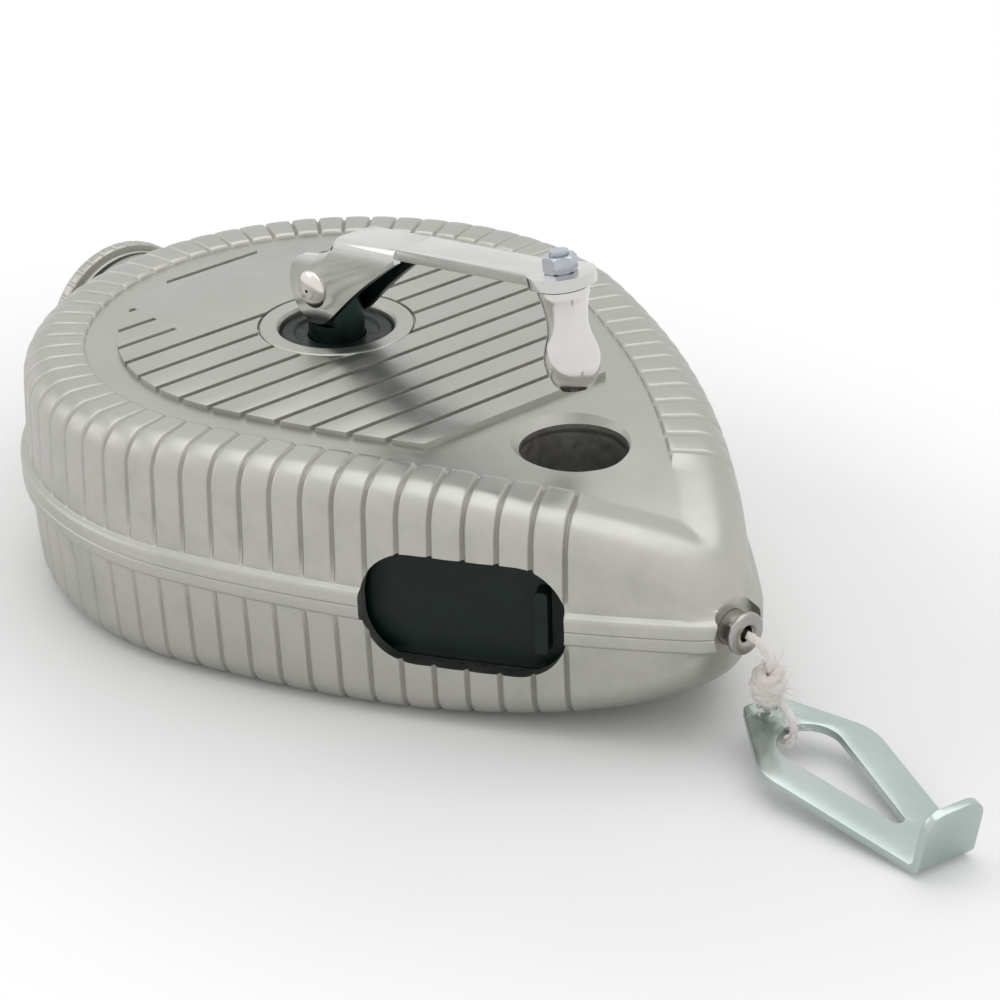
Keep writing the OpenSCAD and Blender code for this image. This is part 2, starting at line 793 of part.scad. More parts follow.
module knob_screw() {
    color("#b9bcc0")
    at_crank() translate([crank_l, 0, 0]) {
        translate([0, 0, knob_seat - run_gap - lap])
            cylinder(r = knob_screw_r, h = strap_up + nut_h + screw_past - knob_seat + run_gap + lap);
        translate([0, 0, knob_seat - knob_head_h - run_gap])
            cylinder(r = knob_screw_r + knob_head_over, h = knob_head_h);
    }
}

module knob_nut() {
    color("#aab0b8")
    at_crank() translate([crank_l, 0, strap_up]) difference() {
        cylinder(r = nut_r, h = nut_h, $fn = 6);
        translate([0, 0, -cut_over]) cylinder(r = knob_screw_r + run_gap, h = case_h);
    }
}

module knob_washer() {
    color("#c0c2be")
    at_crank() translate([crank_l, 0, knob_z1 + slide_gap])
        tube(knob_top_r, knob_screw_r + run_gap, washer_t - slide_gap);
}

// A turned baluster: flange, waist, belly and rounded end, from one cosine-blended profile
function blend(a, b, u) = a + (b - a) * (1 - cos(180 * u)) / 2;
function knob_profile() = [
    [knob_top_r, knob_l], [knob_top_r, knob_l - knob_flange_t],
    for (i = [1 : knob_steps])
        [blend(knob_top_r, knob_waist_r, i / knob_steps),
            knob_l - knob_flange_t - (knob_l * knob_waist_at - knob_flange_t) * i / knob_steps],
    for (i = [1 : knob_steps])
        [blend(knob_waist_r, knob_belly_r, i / knob_steps),
            knob_l * (1 - knob_waist_at - (knob_belly_at - knob_waist_at) * i / knob_steps)],
    for (i = [1 : knob_steps])
        [knob_end_r + (knob_belly_r - knob_end_r) * sqrt(1 - pow(i / knob_steps, 2)),
            knob_l * (1 - knob_belly_at) * (1 - i / knob_steps)]
];

module crank_knob() {
    color("#c6c8c3")
    at_crank() translate([crank_l, 0, knob_z0]) difference() {
        rotate_extrude() polygon(concat([[0, 0], [0, knob_l]], knob_profile()));
        translate([0, 0, -cut_over]) cylinder(r = knob_screw_r + run_gap, h = case_h);
        translate([0, 0, -cut_over])
            cylinder(r = knob_screw_r + knob_head_over + slide_gap, h = knob_seat_up + cut_over);
    }
}

// Chalk door, filler plug, string and hook

module chalk_door() {
    color("#26332c") {
        side_band(door_s0, door_s1, door_r0, door_r1, half_h - door_h / 2, half_h + door_h / 2);
        side_band(lip_s - lip_w / 2, lip_s + lip_w / 2, door_r1 - lap / 4, door_r1 + lip_out,
            half_h - lip_h / 2, half_h + lip_h / 2);
    }
}

module at_plug() {
    translate([neck_x, 0, half_h]) rotate([0, 90, 0]) children();
}

module filler_plug() {
    color("#b4b6ac")
    at_plug() difference() {
        union() {
            translate([0, 0, -seal_t - plug_flange_t]) cylinder(r = plug_r, h = plug_flange_t - plug_step);
            translate([0, 0, -seal_t - plug_step]) cylinder(r = neck_r, h = plug_step);
            translate([0, 0, -seal_t - lap]) cylinder(r = skirt_r, h = skirt_l + seal_t + lap);
        }
        cylinder(r = skirt_r - skirt_wall, h = skirt_l + cut_over);
    }
}

module plug_seal() {
    color("#2b2f2d")
    at_plug() translate([0, 0, -seal_t]) tube(neck_r - seal_in, skirt_r + run_gap, seal_t);
}

module line_tail() {
    color("#eee6e0") swept_tube(tail_points, line_d / 2, tail_sides);
}

module line_knot() {
    color("#eee6e0")
    translate(knot_at) rotate([knot_lean[0], knot_lean[1], 0])
        rotate_extrude() polygon([
            [0, knot_l / 2],
            for (a = [knot_end : knot_end : 180 - knot_end])
                [knot_r * sin(a), knot_l / 2 * cos(a) / cos(knot_end)],
            [0, -knot_l / 2]
        ]);
}

// Plan of the hook: narrow end, knees and tab, with the pear-shaped opening and the string hole
module hook_plan_2d() {
    narrow = [narrow_l, hook_narrow - narrow_r];
    knee = [knee_l, hook_knee - knee_r];
    tab = [hook_end, hook_tab_w];
    pear0 = [pear_l0, 0];
    pear1 = [pear_l1, 0];
    a1 = flank(narrow, narrow_r, knee, knee_r);
    a2 = flank(knee, knee_r, tab, 0);
    a3 = flank(pear0, pear_r0, pear1, pear_r1);
    half = concat(
        arc(narrow, narrow_r, 180, a1, hook_steps), arc(knee, knee_r, a1, a2, hook_steps),
        [tab, [hook_l + hook_tab_h, hook_tab_w]]
    );
    difference() {
        polygon(concat(half, [for (i = [len(half) - 1 : -1 : 0]) [half[i][0], -half[i][1]]]));
        polygon(concat(
            arc(pear0, pear_r0, a3, 360 - a3, 3 * hook_steps), arc(pear1, pear_r1, -a3, a3, hook_steps)
        ));
        circle(hook_hole_r);
    }
}

// Side view of the hook: the flat plate, the bend and the leaning tab
module hook_side_2d() {
    bend = [hook_end, hook_t / 2 + bend_r];
    rear = narrow_l - 2 * narrow_r;
    tab_way = (hook_tab_h - bend_r - hook_t) * [sin(hook_tab_lean), cos(hook_tab_lean)];
    outer = arc(bend, bend_r + hook_t, -90, -hook_tab_lean, hook_steps);
    inner = arc(bend, bend_r, -hook_tab_lean, -90, hook_steps);
    polygon(concat(
        [[rear, -hook_t / 2]], outer, [outer[hook_steps] + tab_way, inner[0] + tab_way],
        inner, [[rear, hook_t / 2]]
    ));
}

// A point given in the hook's own frame
function on_hook(p) =
    let (l = p[0] * cos(hook_tilt) + p[2] * sin(hook_tilt))
    hook_at + [
        l * cos(hook_turn) - p[1] * sin(hook_turn),
        l * sin(hook_turn) + p[1] * cos(hook_turn),
        p[2] * cos(hook_tilt) - p[0] * sin(hook_tilt)
    ];

module line_hook() {
    color("#aab2b6")
    translate(hook_at) rotate([0, 0, hook_turn]) rotate([0, hook_tilt, 0])
        intersection() {
            translate([0, 0, -hook_t]) linear_extrude(2 * hook_tab_h) hook_plan_2d();
            translate([0, hook_knee + cut_over, 0])
                rotate([90, 0, 0]) linear_extrude(2 * (hook_knee + cut_over)) hook_side_2d();
        }
}

top_shell();
bottom_shell();
case_screws();
hub_bush();
door_rails();
line_eyelet();
felt_wiper();
line_run();
spindle();
drive_pin();
spool_core();
upper_flange();
lower_flange();
wound_line();
lower_washer();
upper_washer();
crank_arm();
fold_pin();
knob_screw();
knob_nut();
knob_washer();
crank_knob();
chalk_door();
filler_plug();
plug_seal();
line_tail();
line_knot();
line_hook();
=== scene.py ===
# %% [markdown]
# # A cast chalk-line reel
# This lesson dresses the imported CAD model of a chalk-line reel: a teardrop case of cast
# aluminium with grip pads round its rim, a folding crank, and a flat steel hook on a cotton
# string. The CAD model gives the sizes, the places and the joints. Blender gives the smooth
# castings, the rounded edges and the finishes.

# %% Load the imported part
import math

import bpy
import numpy as np
from mathutils import Matrix, Vector


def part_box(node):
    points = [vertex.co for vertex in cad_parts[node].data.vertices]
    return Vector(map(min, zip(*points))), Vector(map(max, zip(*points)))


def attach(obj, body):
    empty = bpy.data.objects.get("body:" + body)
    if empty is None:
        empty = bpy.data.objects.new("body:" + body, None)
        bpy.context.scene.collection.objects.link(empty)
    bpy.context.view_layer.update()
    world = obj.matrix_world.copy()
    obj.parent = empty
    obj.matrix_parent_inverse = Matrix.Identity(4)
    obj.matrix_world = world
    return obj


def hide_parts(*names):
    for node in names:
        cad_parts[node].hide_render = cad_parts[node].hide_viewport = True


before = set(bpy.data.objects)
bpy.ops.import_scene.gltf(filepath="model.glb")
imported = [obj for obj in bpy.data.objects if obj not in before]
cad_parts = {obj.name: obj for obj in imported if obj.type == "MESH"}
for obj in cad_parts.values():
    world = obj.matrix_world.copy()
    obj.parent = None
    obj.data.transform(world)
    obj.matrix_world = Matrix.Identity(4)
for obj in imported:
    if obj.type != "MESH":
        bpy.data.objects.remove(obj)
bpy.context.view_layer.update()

MM = 0.001

# %% [markdown]
# ## Working by hand, in code
# An operator acts on whatever is selected, and loading leaves the CAD nodes selected. So each
# step first clears the selection and picks its own piece. These helpers do that, read and set
# the points of a mesh in millimetres, and apply a modifier as soon as it is set up.


# %% Helpers for picking a piece and applying a modifier
def nothing_selected():
    if bpy.context.object and bpy.context.object.mode != "OBJECT":
        bpy.ops.object.mode_set(mode="OBJECT")
    bpy.ops.object.select_all(action="DESELECT")


def pick(piece):
    nothing_selected()
    piece.select_set(True)
    bpy.context.view_layer.objects.active = piece
    return piece


def named(name):
    piece = bpy.context.object
    piece.name = name
    piece.data.name = name
    return piece


def points_of(piece):
    flat = np.empty(len(piece.data.vertices) * 3)
    piece.data.vertices.foreach_get("co", flat)
    return flat.reshape(-1, 3) / MM


def put_points(piece, points):
    piece.data.vertices.foreach_set("co", (np.asarray(points, float) * MM).ravel())
    piece.data.update()


def apply_modifier(piece, kind, **settings):
    pick(piece)
    modifier = piece.modifiers.new(kind.title(), kind)
    for key, value in settings.items():
        setattr(modifier, key, value)
    bpy.ops.object.modifier_apply(modifier=modifier.name)
    return piece


def closed(piece, merge=0.0005):
    """Merges doubles and turns all faces outwards."""
    pick(piece)
    bpy.ops.object.mode_set(mode="EDIT")
    bpy.ops.mesh.select_all(action="SELECT")
    bpy.ops.mesh.remove_doubles(threshold=merge * MM)
    bpy.ops.mesh.normals_make_consistent(inside=False)
    bpy.ops.object.mode_set(mode="OBJECT")
    return piece


def smooth(piece, degrees=35):
    pick(piece)
    bpy.ops.object.shade_smooth_by_angle(angle=math.radians(degrees))
    return piece


def bevelled(piece, width, segments=2, degrees=35):
    return apply_modifier(
        piece, "BEVEL", width=width * MM, segments=segments,
        limit_method="ANGLE", angle_limit=math.radians(degrees),
    )


def sliced(piece, places, axis):
    """Cuts a mesh across at each place along an axis and keeps all of it."""
    pick(piece)
    bpy.ops.object.mode_set(mode="EDIT")
    for place in places:
        bpy.ops.mesh.select_all(action="SELECT")
        bpy.ops.mesh.bisect(plane_co=[a * place * MM for a in axis], plane_no=axis)
    bpy.ops.object.mode_set(mode="OBJECT")
    return piece


def cut(piece, tool, operation="DIFFERENCE"):
    apply_modifier(piece, "BOOLEAN", object=tool, operation=operation, solver="EXACT")
    bpy.data.objects.remove(tool)
    return piece


def joined(name, *pieces):
    nothing_selected()
    for piece in pieces:
        piece.select_set(True)
    bpy.context.view_layer.objects.active = pieces[0]
    bpy.ops.object.join()
    return named(name)


def placed(piece, matrix):
    """Turns and moves a finished mesh; the matrix is in millimetres."""
    pick(piece)
    moved = matrix.copy()
    moved.translation = matrix.translation * MM
    piece.matrix_world = moved
    bpy.ops.object.transform_apply(location=True, rotation=True, scale=True)
    return piece


# %% [markdown]
# ## Three ways to start a piece
# Most of this reel is wrapped, turned or stamped, so three helpers start almost every piece. A
# wrapped piece is a grid whose points are laid on a formula, as for the ribbed casting. A turned
# piece is a ring of points set out as a section and spun by the Screw modifier, as on a lathe. A
# stamped piece is a filled ring set out as an outline and extruded, as for sheet steel.


# %% Helpers that start a wrapped, a turned or a stamped piece
def wrapped(name, net):
    """A grid laid on a net of points, net[i][j] = (x, y, z); doubled seams are merged."""
    net = np.asarray(net, float)
    across, along = net.shape[0] - 1, net.shape[1] - 1
    nothing_selected()
    bpy.ops.mesh.primitive_grid_add(x_subdivisions=across, y_subdivisions=along, size=1)
    piece = named(name)
    flat = points_of(piece) * MM
    i = np.rint((flat[:, 0] + 0.5) * across).astype(int)
    j = np.rint((flat[:, 1] + 0.5) * along).astype(int)
    put_points(piece, net[i, j])
    return closed(piece)


def turned(name, section, steps=64):
    """A closed section of (radius, height) points, turned round the Z axis."""
    nothing_selected()
    bpy.ops.mesh.primitive_circle_add(vertices=len(section), fill_type="NOTHING")
    piece = named(name)
    put_points(piece, [(r, 0, z) for r, z in section])
    apply_modifier(piece, "SCREW", steps=steps, render_steps=steps)
    return closed(piece)


def cylinder(name, radius, low, high, steps=64):
    """A plain round rod along the Z axis."""
    return turned(name, [(0, low), (radius, low), (radius, high), (0, high)], steps)


def stamped(name, outline, low, high):
    """A flat outline of (x, y) points, extruded from one height to another."""
    nothing_selected()
    bpy.ops.mesh.primitive_circle_add(vertices=len(outline), fill_type="NGON")
    piece = named(name)
    put_points(piece, [(x, y, low) for x, y in outline])
    bpy.ops.object.mode_set(mode="EDIT")
    bpy.ops.mesh.select_all(action="SELECT")
    bpy.ops.mesh.extrude_region_move(TRANSFORM_OT_translate={"value": (0, 0, (high - low) * MM)})
    bpy.ops.object.mode_set(mode="OBJECT")
    return closed(piece)


def arc(centre, radius, start, end, steps):
    """Points of an arc; angles in degrees."""
    angles = np.radians(np.linspace(start, end, steps + 1))
    return [(centre[0] + radius * math.cos(a), centre[1] + radius * math.sin(a)) for a in angles]


def rounded(corners, steps=4):
    """A closed outline with its corners rounded; corners are (x, y, radius)."""
    out = []
    for k, (x, y, radius) in enumerate(corners):
        here = Vector((x, y))
        before = Vector(corners[k - 1][:2]) - here
        after = Vector(corners[(k + 1) % len(corners)][:2]) - here
        if radius == 0:
            out.append((x, y))
            continue
        half = before.angle(after) / 2
        middle = here + (before.normalized() + after.normalized()).normalized() * radius / math.sin(half)
        first = here + before.normalized() * radius / math.tan(half) - middle
        last = here + after.normalized() * radius / math.tan(half) - middle
        sweep = first.angle_signed(last)
        start = math.atan2(first.y, first.x)
        for s in range(steps + 1):
            a = start - sweep * s / steps
            out.append((middle.x + radius * math.cos(a), middle.y + radius * math.sin(a)))
    return out


def rounded_box(middle, size, radius, steps=4):
    x, y = middle
    a, b = size[0] / 2, size[1] / 2
    corners = ((x - a, y - b), (x + a, y - b), (x + a, y + b), (x - a, y + b))
    return rounded([(*corner, radius) for corner in corners], steps)


# The turned and stamped helpers build along Z; these turns lay a piece along X or Y
ALONG_X = Matrix(((0, 0, 1, 0), (0, 1, 0, 0), (-1, 0, 0, 0), (0, 0, 0, 1)))
ALONG_Y = Matrix(((1, 0, 0, 0), (0, 0, -1, 0), (0, 1, 0, 0), (0, 0, 0, 1)))
print("helpers ready")

# %% [markdown]
# ## The camera
# A studio photograph of a small object is usually taken with a long lens from a step back. The
# angles were found by matching known corners of the case, so the camera is set by an azimuth, an
# elevation, a small roll and a distance, and not moved by hand.

# %% Camera at the photograph's angle
LENS = 108
SENSOR = 36
AZIMUTH, ELEVATION, ROLL = (math.radians(a) for a in (49.78, 27.03, -1.74))
TARGET = Vector((30.92, 3.19, 16.07))
DISTANCE = 414.28

level = math.cos(ELEVATION)
back = Vector((math.sin(AZIMUTH) * level, -math.cos(AZIMUTH) * level, math.sin(ELEVATION)))
flat_right = Vector((math.cos(AZIMUTH), math.sin(AZIMUTH), 0))
flat_up = back.cross(flat_right)
right = math.cos(ROLL) * flat_right + math.sin(ROLL) * flat_up
up = math.cos(ROLL) * flat_up - math.sin(ROLL) * flat_right

nothing_selected()
bpy.ops.object.camera_add()
camera = named("camera")
camera.data.lens = LENS
camera.data.sensor_width = SENSOR
camera.data.clip_start = 0.01
camera.matrix_world = Matrix((right, up, back)).transposed().to_4x4()
camera.location = (TARGET + back * DISTANCE) * MM
bpy.context.scene.camera = camera
print("camera at", [round(v, 3) for v in camera.location])

# %% [markdown]
# ## The string
# The line is a cotton string of three twisted strands. It leaves the eyelet, goes down through the
# hole of the hook, comes up through the hook's opening and ends in a knot. A curve with a round
# bevel would look like wire, so a three-lobed section is swept along the route and turned as it
# goes, which gives the lay of the strands. The route takes the points of the CAD model's line and
# cuts their corners, so that the string bends softly.

# %% Route of the string
STRING_D = 1.2
STRING_LAY = 3.2
STRANDS = 3
HOOK_T = 1.2
HOOK_LONG = 35.6
FLOOR_GAP = 0.1
HOOK_AT = (82.68, 3, 4.9)
HOOK_TURN = math.radians(-8.2)
HOOK_TILT = math.asin((HOOK_AT[2] - HOOK_T / 2 - FLOOR_GAP) / (HOOK_LONG + HOOK_T))
HOOK_PLACE = (
    Matrix.Translation(HOOK_AT) @ Matrix.Rotation(HOOK_TURN, 4, "Z") @ Matrix.Rotation(HOOK_TILT, 4, "Y")
)
LOOP_R, LOOP_SHIFT = 2.925, 0.05
DROP = [
    (82.2, 0, 17), (83.5, 0.05, 16.85), (84.65, 0.3, 15.95), (85.2, 0.75, 14.3), (85, 1.3, 12.1),
    (84.3, 1.9, 9.7), (83.3, 2.6, 7.1),
]
LOOP = [
    HOOK_PLACE @ Vector((LOOP_R * (1 + math.cos(a)) + LOOP_SHIFT, 0, LOOP_R * math.sin(a)))
    for a in np.radians(range(180, 451, 45))
]
TAIL = [*DROP, *(tuple(p) for p in LOOP), (84, 1.9, 10.4)]


def cut_corners(points, rounds):
    """A soft curve that cuts the corners of a route and keeps its two ends."""
    p = np.asarray(points, float)
    for _ in range(rounds):
        near = 0.75 * p[:-1] + 0.25 * p[1:]
        far = 0.25 * p[:-1] + 0.75 * p[1:]
        p = np.vstack([p[:1], np.stack([near, far], axis=1).reshape(-1, 3), p[-1:]])
    return p


def smooth_path(points, steps):
    """A Catmull-Rom curve through the points."""
    p = np.asarray([points[0], *points, points[-1]], float)
    out = []
    for k in range(1, len(p) - 2):
        for t in np.arange(steps) / steps:
            a, b, c, d = p[k - 1], p[k], p[k + 1], p[k + 2]
            bend = (2 * a - 5 * b + 4 * c - d) * t**2 + (3 * b - a - 3 * c + d) * t**3
            out.append(b + 0.5 * ((c - a) * t + bend))
    return np.array([*out, p[-2]])


def path_length(path):
    return float(np.linalg.norm(np.diff(path, axis=0), axis=1).sum())


string_path = cut_corners(TAIL, 3)


# %% Sweep a twisted section along the route
def carried_frames(path):
    """Tangent and two sides at each point, carried along without sudden turns."""
    tangents = np.gradient(path, axis=0)
    tangents /= np.linalg.norm(tangents, axis=1)[:, None]
    side = np.cross(tangents[0], (0.3, 1, 0.2))
    frames = []
    for t in tangents:
        side = side - t * np.dot(side, t)
        side = side / np.linalg.norm(side)
        frames.append((t, side, np.cross(t, side)))
    return frames


def twisted_string(name, path, diameter, lay=STRING_LAY, sides=18, lobe=0.13):
    """A closed string of three strands along a path, with round ends."""
    along = np.concatenate([[0], np.cumsum(np.linalg.norm(np.diff(path, axis=0), axis=1))])
    angles = np.linspace(0, 2 * math.pi, sides + 1)
    rings = []
    for (t, u, v), centre, s in zip(carried_frames(path), path, along):
        turn = 2 * math.pi * s / lay
        radius = diameter / 2 * (1 - lobe + lobe * np.cos(STRANDS * (angles - turn)))
        rings.append(centre + radius[:, None] * (np.cos(angles)[:, None] * u + np.sin(angles)[:, None] * v))
    first = np.repeat(path[:1], sides + 1, axis=0)
    last = np.repeat(path[-1:], sides + 1, axis=0)
    net = np.stack([first, *rings, last], axis=1)
    return smooth(wrapped(name, net), 60)


string = twisted_string("string", string_path, STRING_D)
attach(string, "hook")
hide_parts("line_tail")
print("string:", len(string.data.polygons), "faces")

# %% [markdown]
# ## The knot
# The end is tied back round the standing string: a few tight turns pulled into a lump about
# 5 mm across. The turns are one helix that swells in the middle and wobbles a little, swept with
# the same twisted section, so the lump reads as string and not as a ball.

# %% Wind the knot
KNOT_AT = np.array((84.2, 1.8, 10))
KNOT_TURNS = 6
KNOT_STEPS = 20
KNOT_R, KNOT_SWELL, KNOT_WOBBLE = 1.6, 0.38, 0.3
KNOT_REACH = 6
KNOT_THICK = 1.3
KNOT_WAY = np.array((0.3125, -0.239, 0.919))


def knot_path():
    way = KNOT_WAY / np.linalg.norm(KNOT_WAY)
    u = np.cross(way, (0, 1, 0))
    u = u / np.linalg.norm(u)
    v = np.cross(way, u)
    out = []
    for k in range(KNOT_TURNS * KNOT_STEPS + 1):
        share = k / (KNOT_TURNS * KNOT_STEPS)
        a = 2 * math.pi * KNOT_TURNS * share
        swell = 1 - KNOT_SWELL + KNOT_SWELL * math.sin(math.pi * share)
        radius = KNOT_R * swell + KNOT_WOBBLE * math.sin(2.3 * a)
        middle = KNOT_AT + way * KNOT_REACH * (share - 0.5)
        out.append(middle + radius * (math.cos(a) * u + math.sin(a) * v))
    return np.array(out)


knot = twisted_string("knot", knot_path(), STRING_D * KNOT_THICK)
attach(knot, "hook")
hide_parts("line_knot")
print("knot:", KNOT_TURNS, "turns,", len(knot.data.polygons), "faces")

# %% [markdown]
# ## Frayed fibres
# Worn cotton sheds fine fibres, which the photograph shows as a soft fringe round the knot. Hair
# particles would be lost in an export, so each fibre is a thin tapering cone, cut a few times
# along its length and curled. One seeded draw places them all.

# %% Grow the fibres
FIBRES = 420
FIBRE_R, FIBRE_TIP = 0.06, 0.4
FIBRE_LONG = (0.8, 2.8)
FIBRE_CURL = 0.4
FRAYED_FROM = 26
FRINGE_X, FRINGE_LOW, FRINGE_HIGH = 82.4, 1, 14.5
draw = np.random.default_rng(12)


def fibre(root, way, length, curl):
    nothing_selected()
    bpy.ops.mesh.primitive_cone_add(
        vertices=3, radius1=FIBRE_R * MM, radius2=FIBRE_R * FIBRE_TIP * MM, depth=length * MM,
        location=(0, 0, length / 2 * MM),
    )
    piece = named("fibre")
    bpy.ops.object.transform_apply(location=True)
    sliced(piece, [length * share for share in (0.25, 0.5, 0.75)], (0, 0, 1))
    points = points_of(piece)
    rise = points[:, 2] / length
    points[:, 0] += curl[0] * rise**2
    points[:, 1] += curl[1] * rise**2
    put_points(piece, points)
    turn = Vector((0, 0, 1)).rotation_difference(Vector(way)).to_matrix().to_4x4()
    return placed(piece, Matrix.Translation(root) @ turn)


def grow_fibres():
    spots = np.vstack([string_path[FRAYED_FROM:], knot_path(), knot_path()])
    grown = []
    for _ in range(FIBRES):
        root = spots[draw.integers(len(spots))]
        way = draw.normal(size=3)
        way = way / np.linalg.norm(way)
        length = draw.uniform(*FIBRE_LONG)
        curl = draw.normal(0, FIBRE_CURL, 2) * length
        tip = root + way * (STRING_D / 2 + length)
        if tip[0] > FRINGE_X and FRINGE_LOW < tip[2] < FRINGE_HIGH:
            grown.append(fibre(root + way * STRING_D * 0.3, way, length, curl))
    return grown


fibres = joined("string_fibres", *grow_fibres())
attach(fibres, "hook")
print("fibres:", len(fibres.data.polygons), "faces")

# %% [markdown]
# ## The hook
# The hook is stamped from zinc-plated sheet: a blank with a small hole, a pear-shaped opening and
# two knees, whose end is folded up into a tab. Making the fold by a boolean of two plates would
# leave a hard seam. So the flat blank is stamped and its edges are rounded first, the blank is
# cut across along the bend, and the far end is then folded by a formula, as a press does it.

# %% Stamp the blank
NARROW, NARROW_R = Vector((-0.6, 2)), 1
KNEE, KNEE_R = Vector((11.7, 1.25)), 7.5
TAB_W = 4.4
TAB_CORNER = 2.6
BEND_AT = 33.8
BEND_R = 0.6
BEND_TURN = math.radians(84)
BEND_MID = BEND_R + HOOK_T / 2
BEND_LONG = BEND_MID * BEND_TURN
TAB_LONG = 7.9
HOLE_R = 1.3
PEAR = ((9.2, 4.35), (26.3, 0.9))


def flank_angle(c1, r1, c2, r2):
    """Angle, in degrees, at which the straight flank from one circle to the next touches both."""
    way = Vector(c2) - Vector(c1)
    return math.degrees(math.atan2(way.y, way.x) + math.acos((r1 - r2) / way.length))


def hook_blank():
    end = BEND_AT + BEND_LONG + TAB_LONG
    a1 = flank_angle(NARROW, NARROW_R, KNEE, KNEE_R)
    a2 = flank_angle(KNEE, KNEE_R, (BEND_AT, TAB_W), 0)
    half = [
        *arc(NARROW, NARROW_R, 180, a1, 8), *arc(KNEE, KNEE_R, a1, a2, 12), (BEND_AT, TAB_W),
        *arc((end - TAB_CORNER, TAB_W - TAB_CORNER), TAB_CORNER, 90, 0, 6),
    ]
    return half + [(x, -y) for x, y in reversed(half)]


def pear_outline():
    (l0, r0), (l1, r1) = PEAR
    a = flank_angle((l0, 0), r0, (l1, 0), r1)
    return arc((l0, 0), r0, a, 360 - a, 28) + arc((l1, 0), r1, -a, a, 8)


hook = stamped("hook", hook_blank(), -HOOK_T / 2, HOOK_T / 2)
cut(hook, stamped("pear_tool", pear_outline(), -HOOK_T, HOOK_T))
cut(hook, stamped("hole_tool", arc((0, 0), HOLE_R, 0, 345, 23), -HOOK_T, HOOK_T))
bevelled(hook, 0.22, 3)
print("hook blank:", len(hook.data.polygons), "faces")


# %% Fold the tab and hang the hook in its place
def folded(points):
    out = points.copy()
    for p in out:
        past = p[0] - BEND_AT
        if past <= 0:
            continue
        turn = min(past / BEND_MID, BEND_TURN)
        rest = max(past - BEND_LONG, 0)
        radius = BEND_MID - p[2]
        p[0] = BEND_AT + radius * math.sin(turn) + rest * math.cos(turn)
        p[2] = BEND_MID - radius * math.cos(turn) + rest * math.sin(turn)
    return out


sliced(hook, BEND_AT + BEND_LONG * np.linspace(0, 1, 9), (1, 0, 0))
put_points(hook, folded(points_of(hook)))
placed(hook, HOOK_PLACE)
smooth(hook)
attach(hook, "hook")
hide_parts("line_hook")
print("hook box in mm:", [round(v, 1) for v in (*points_of(hook).min(0), *points_of(hook).max(0))])

# %% [markdown]
# ## The plan of the case
# Seen from above the case is a teardrop: a round rear end, two long side arcs tangent to it, and a
# small nose circle. Everything on the casting follows that outline, so it is written once as a
# function. A station is a place along the near half of the outline, and foot() gives the point of
# a station at any inset, also where an inset is larger than the nose radius.

# %% Sizes of the case and its outline
CASE_R = 45
NOSE_REACH = 80.4
NOSE_R = 7.5
SIDE_R = 204
HALF_H = 17
NOSE_FALL = 29
NOSE_FULL = 2.6
NOSE_MIN_R = 0.5
# Round pieces of the neck and the nose lie along X at the height of the parting plane
AT_PARTING = Matrix.Translation((0, 0, HALF_H)) @ ALONG_X

nose_x = NOSE_REACH - NOSE_R
side_x = ((SIDE_R - CASE_R) ** 2 - (SIDE_R - NOSE_R) ** 2 + nose_x**2) / (2 * nose_x)
side_y = math.sqrt((SIDE_R - CASE_R) ** 2 - side_x**2)
side_start = math.atan2(-side_y, -side_x)
rear_len = CASE_R * (math.pi + side_start)


def side_angle(s):
    return side_start + s / SIDE_R


def on_side(angle, inset):
    radius = SIDE_R - inset
    return side_x + radius * math.cos(angle), side_y + radius * math.sin(angle)


def inset_nose(inset):
    radius = max(NOSE_R - inset, NOSE_MIN_R)
    x = side_x + math.sqrt((SIDE_R - inset - radius) ** 2 - side_y**2)
    return x, radius, math.atan2(-side_y, x - side_x)


def top_z(x):
    """Height of the top above the parting plane, which falls towards the nose."""
    fall = min(max((x - NOSE_FALL) / (NOSE_REACH - NOSE_FALL), 0), 1)
    return HALF_H * (1 - fall**NOSE_FULL) ** (1 / NOSE_FULL)


print("side arcs centred at", round(side_x, 1), round(side_y, 1), "rear arc", round(rear_len, 1), "mm")

# %% [markdown]
# ## Stations round the rim
# The grip pads are pillows about 4.5 mm wide with narrow grooves between them. Modelling one pad
# and repeating it with an Array along a curve would stretch on the nose. Instead the stations
# crowd round each groove, and each carries the depth of the surface there: a rounded groove and
# a slight crown. In front of the last pad the rim is plain and runs round the nose.

# %% Lay out the stations
PADS = 32
PAD_END = 56.5
GROOVE_HALF = 0.5
GROOVE_DEEP = 0.5
PAD_CROWN = 0.14
PLAIN_BLEND = 2.6
SIDE_STEPS = 10
NOSE_STEPS = 16
CROWDED = (0, 0.12, 0.25, 0.38, 0.5, 0.75, 1.2)

pad_pitch = (rear_len + PAD_END) / PADS
plain_start = side_angle(PAD_END)
plain_len = (inset_nose(0)[2] - plain_start) * SIDE_R


def groove_depth(u):
    return GROOVE_DEEP / 2 * (1 + math.cos(math.pi * min(u / GROOVE_HALF, 1)))


def pad_depth(u):
    return groove_depth(u) + PAD_CROWN * max(1 - 2 * u / pad_pitch, 0) ** 2


def ease(x):
    x = min(max(x, 0), 1)
    return x * x * (3 - 2 * x)


def rim_station(t, depth):
    if t <= rear_len:
        return "rear", math.pi + t / CASE_R, depth, 0
    return "pads", side_angle(t - rear_len), depth, 0


def near_stations():
    """(kind, angle or share, depth, plainness) from the rear to the nose tip."""
    out = []
    for k in range(PADS):
        steps = [*CROWDED, pad_pitch / 2, *(pad_pitch - u for u in reversed(CROWDED[1:]))]
        out += [rim_station(k * pad_pitch + u, pad_depth(min(u, pad_pitch - u))) for u in steps]
    plain = [*CROWDED, *np.linspace(CROWDED[-1], plain_len, SIDE_STEPS + 1)[1:-1]]
    out += [("plain", u / plain_len, groove_depth(u), ease(u / PLAIN_BLEND)) for u in plain]
    out += [("nose", k / NOSE_STEPS, 0, 1) for k in range(NOSE_STEPS + 1)]
    return out


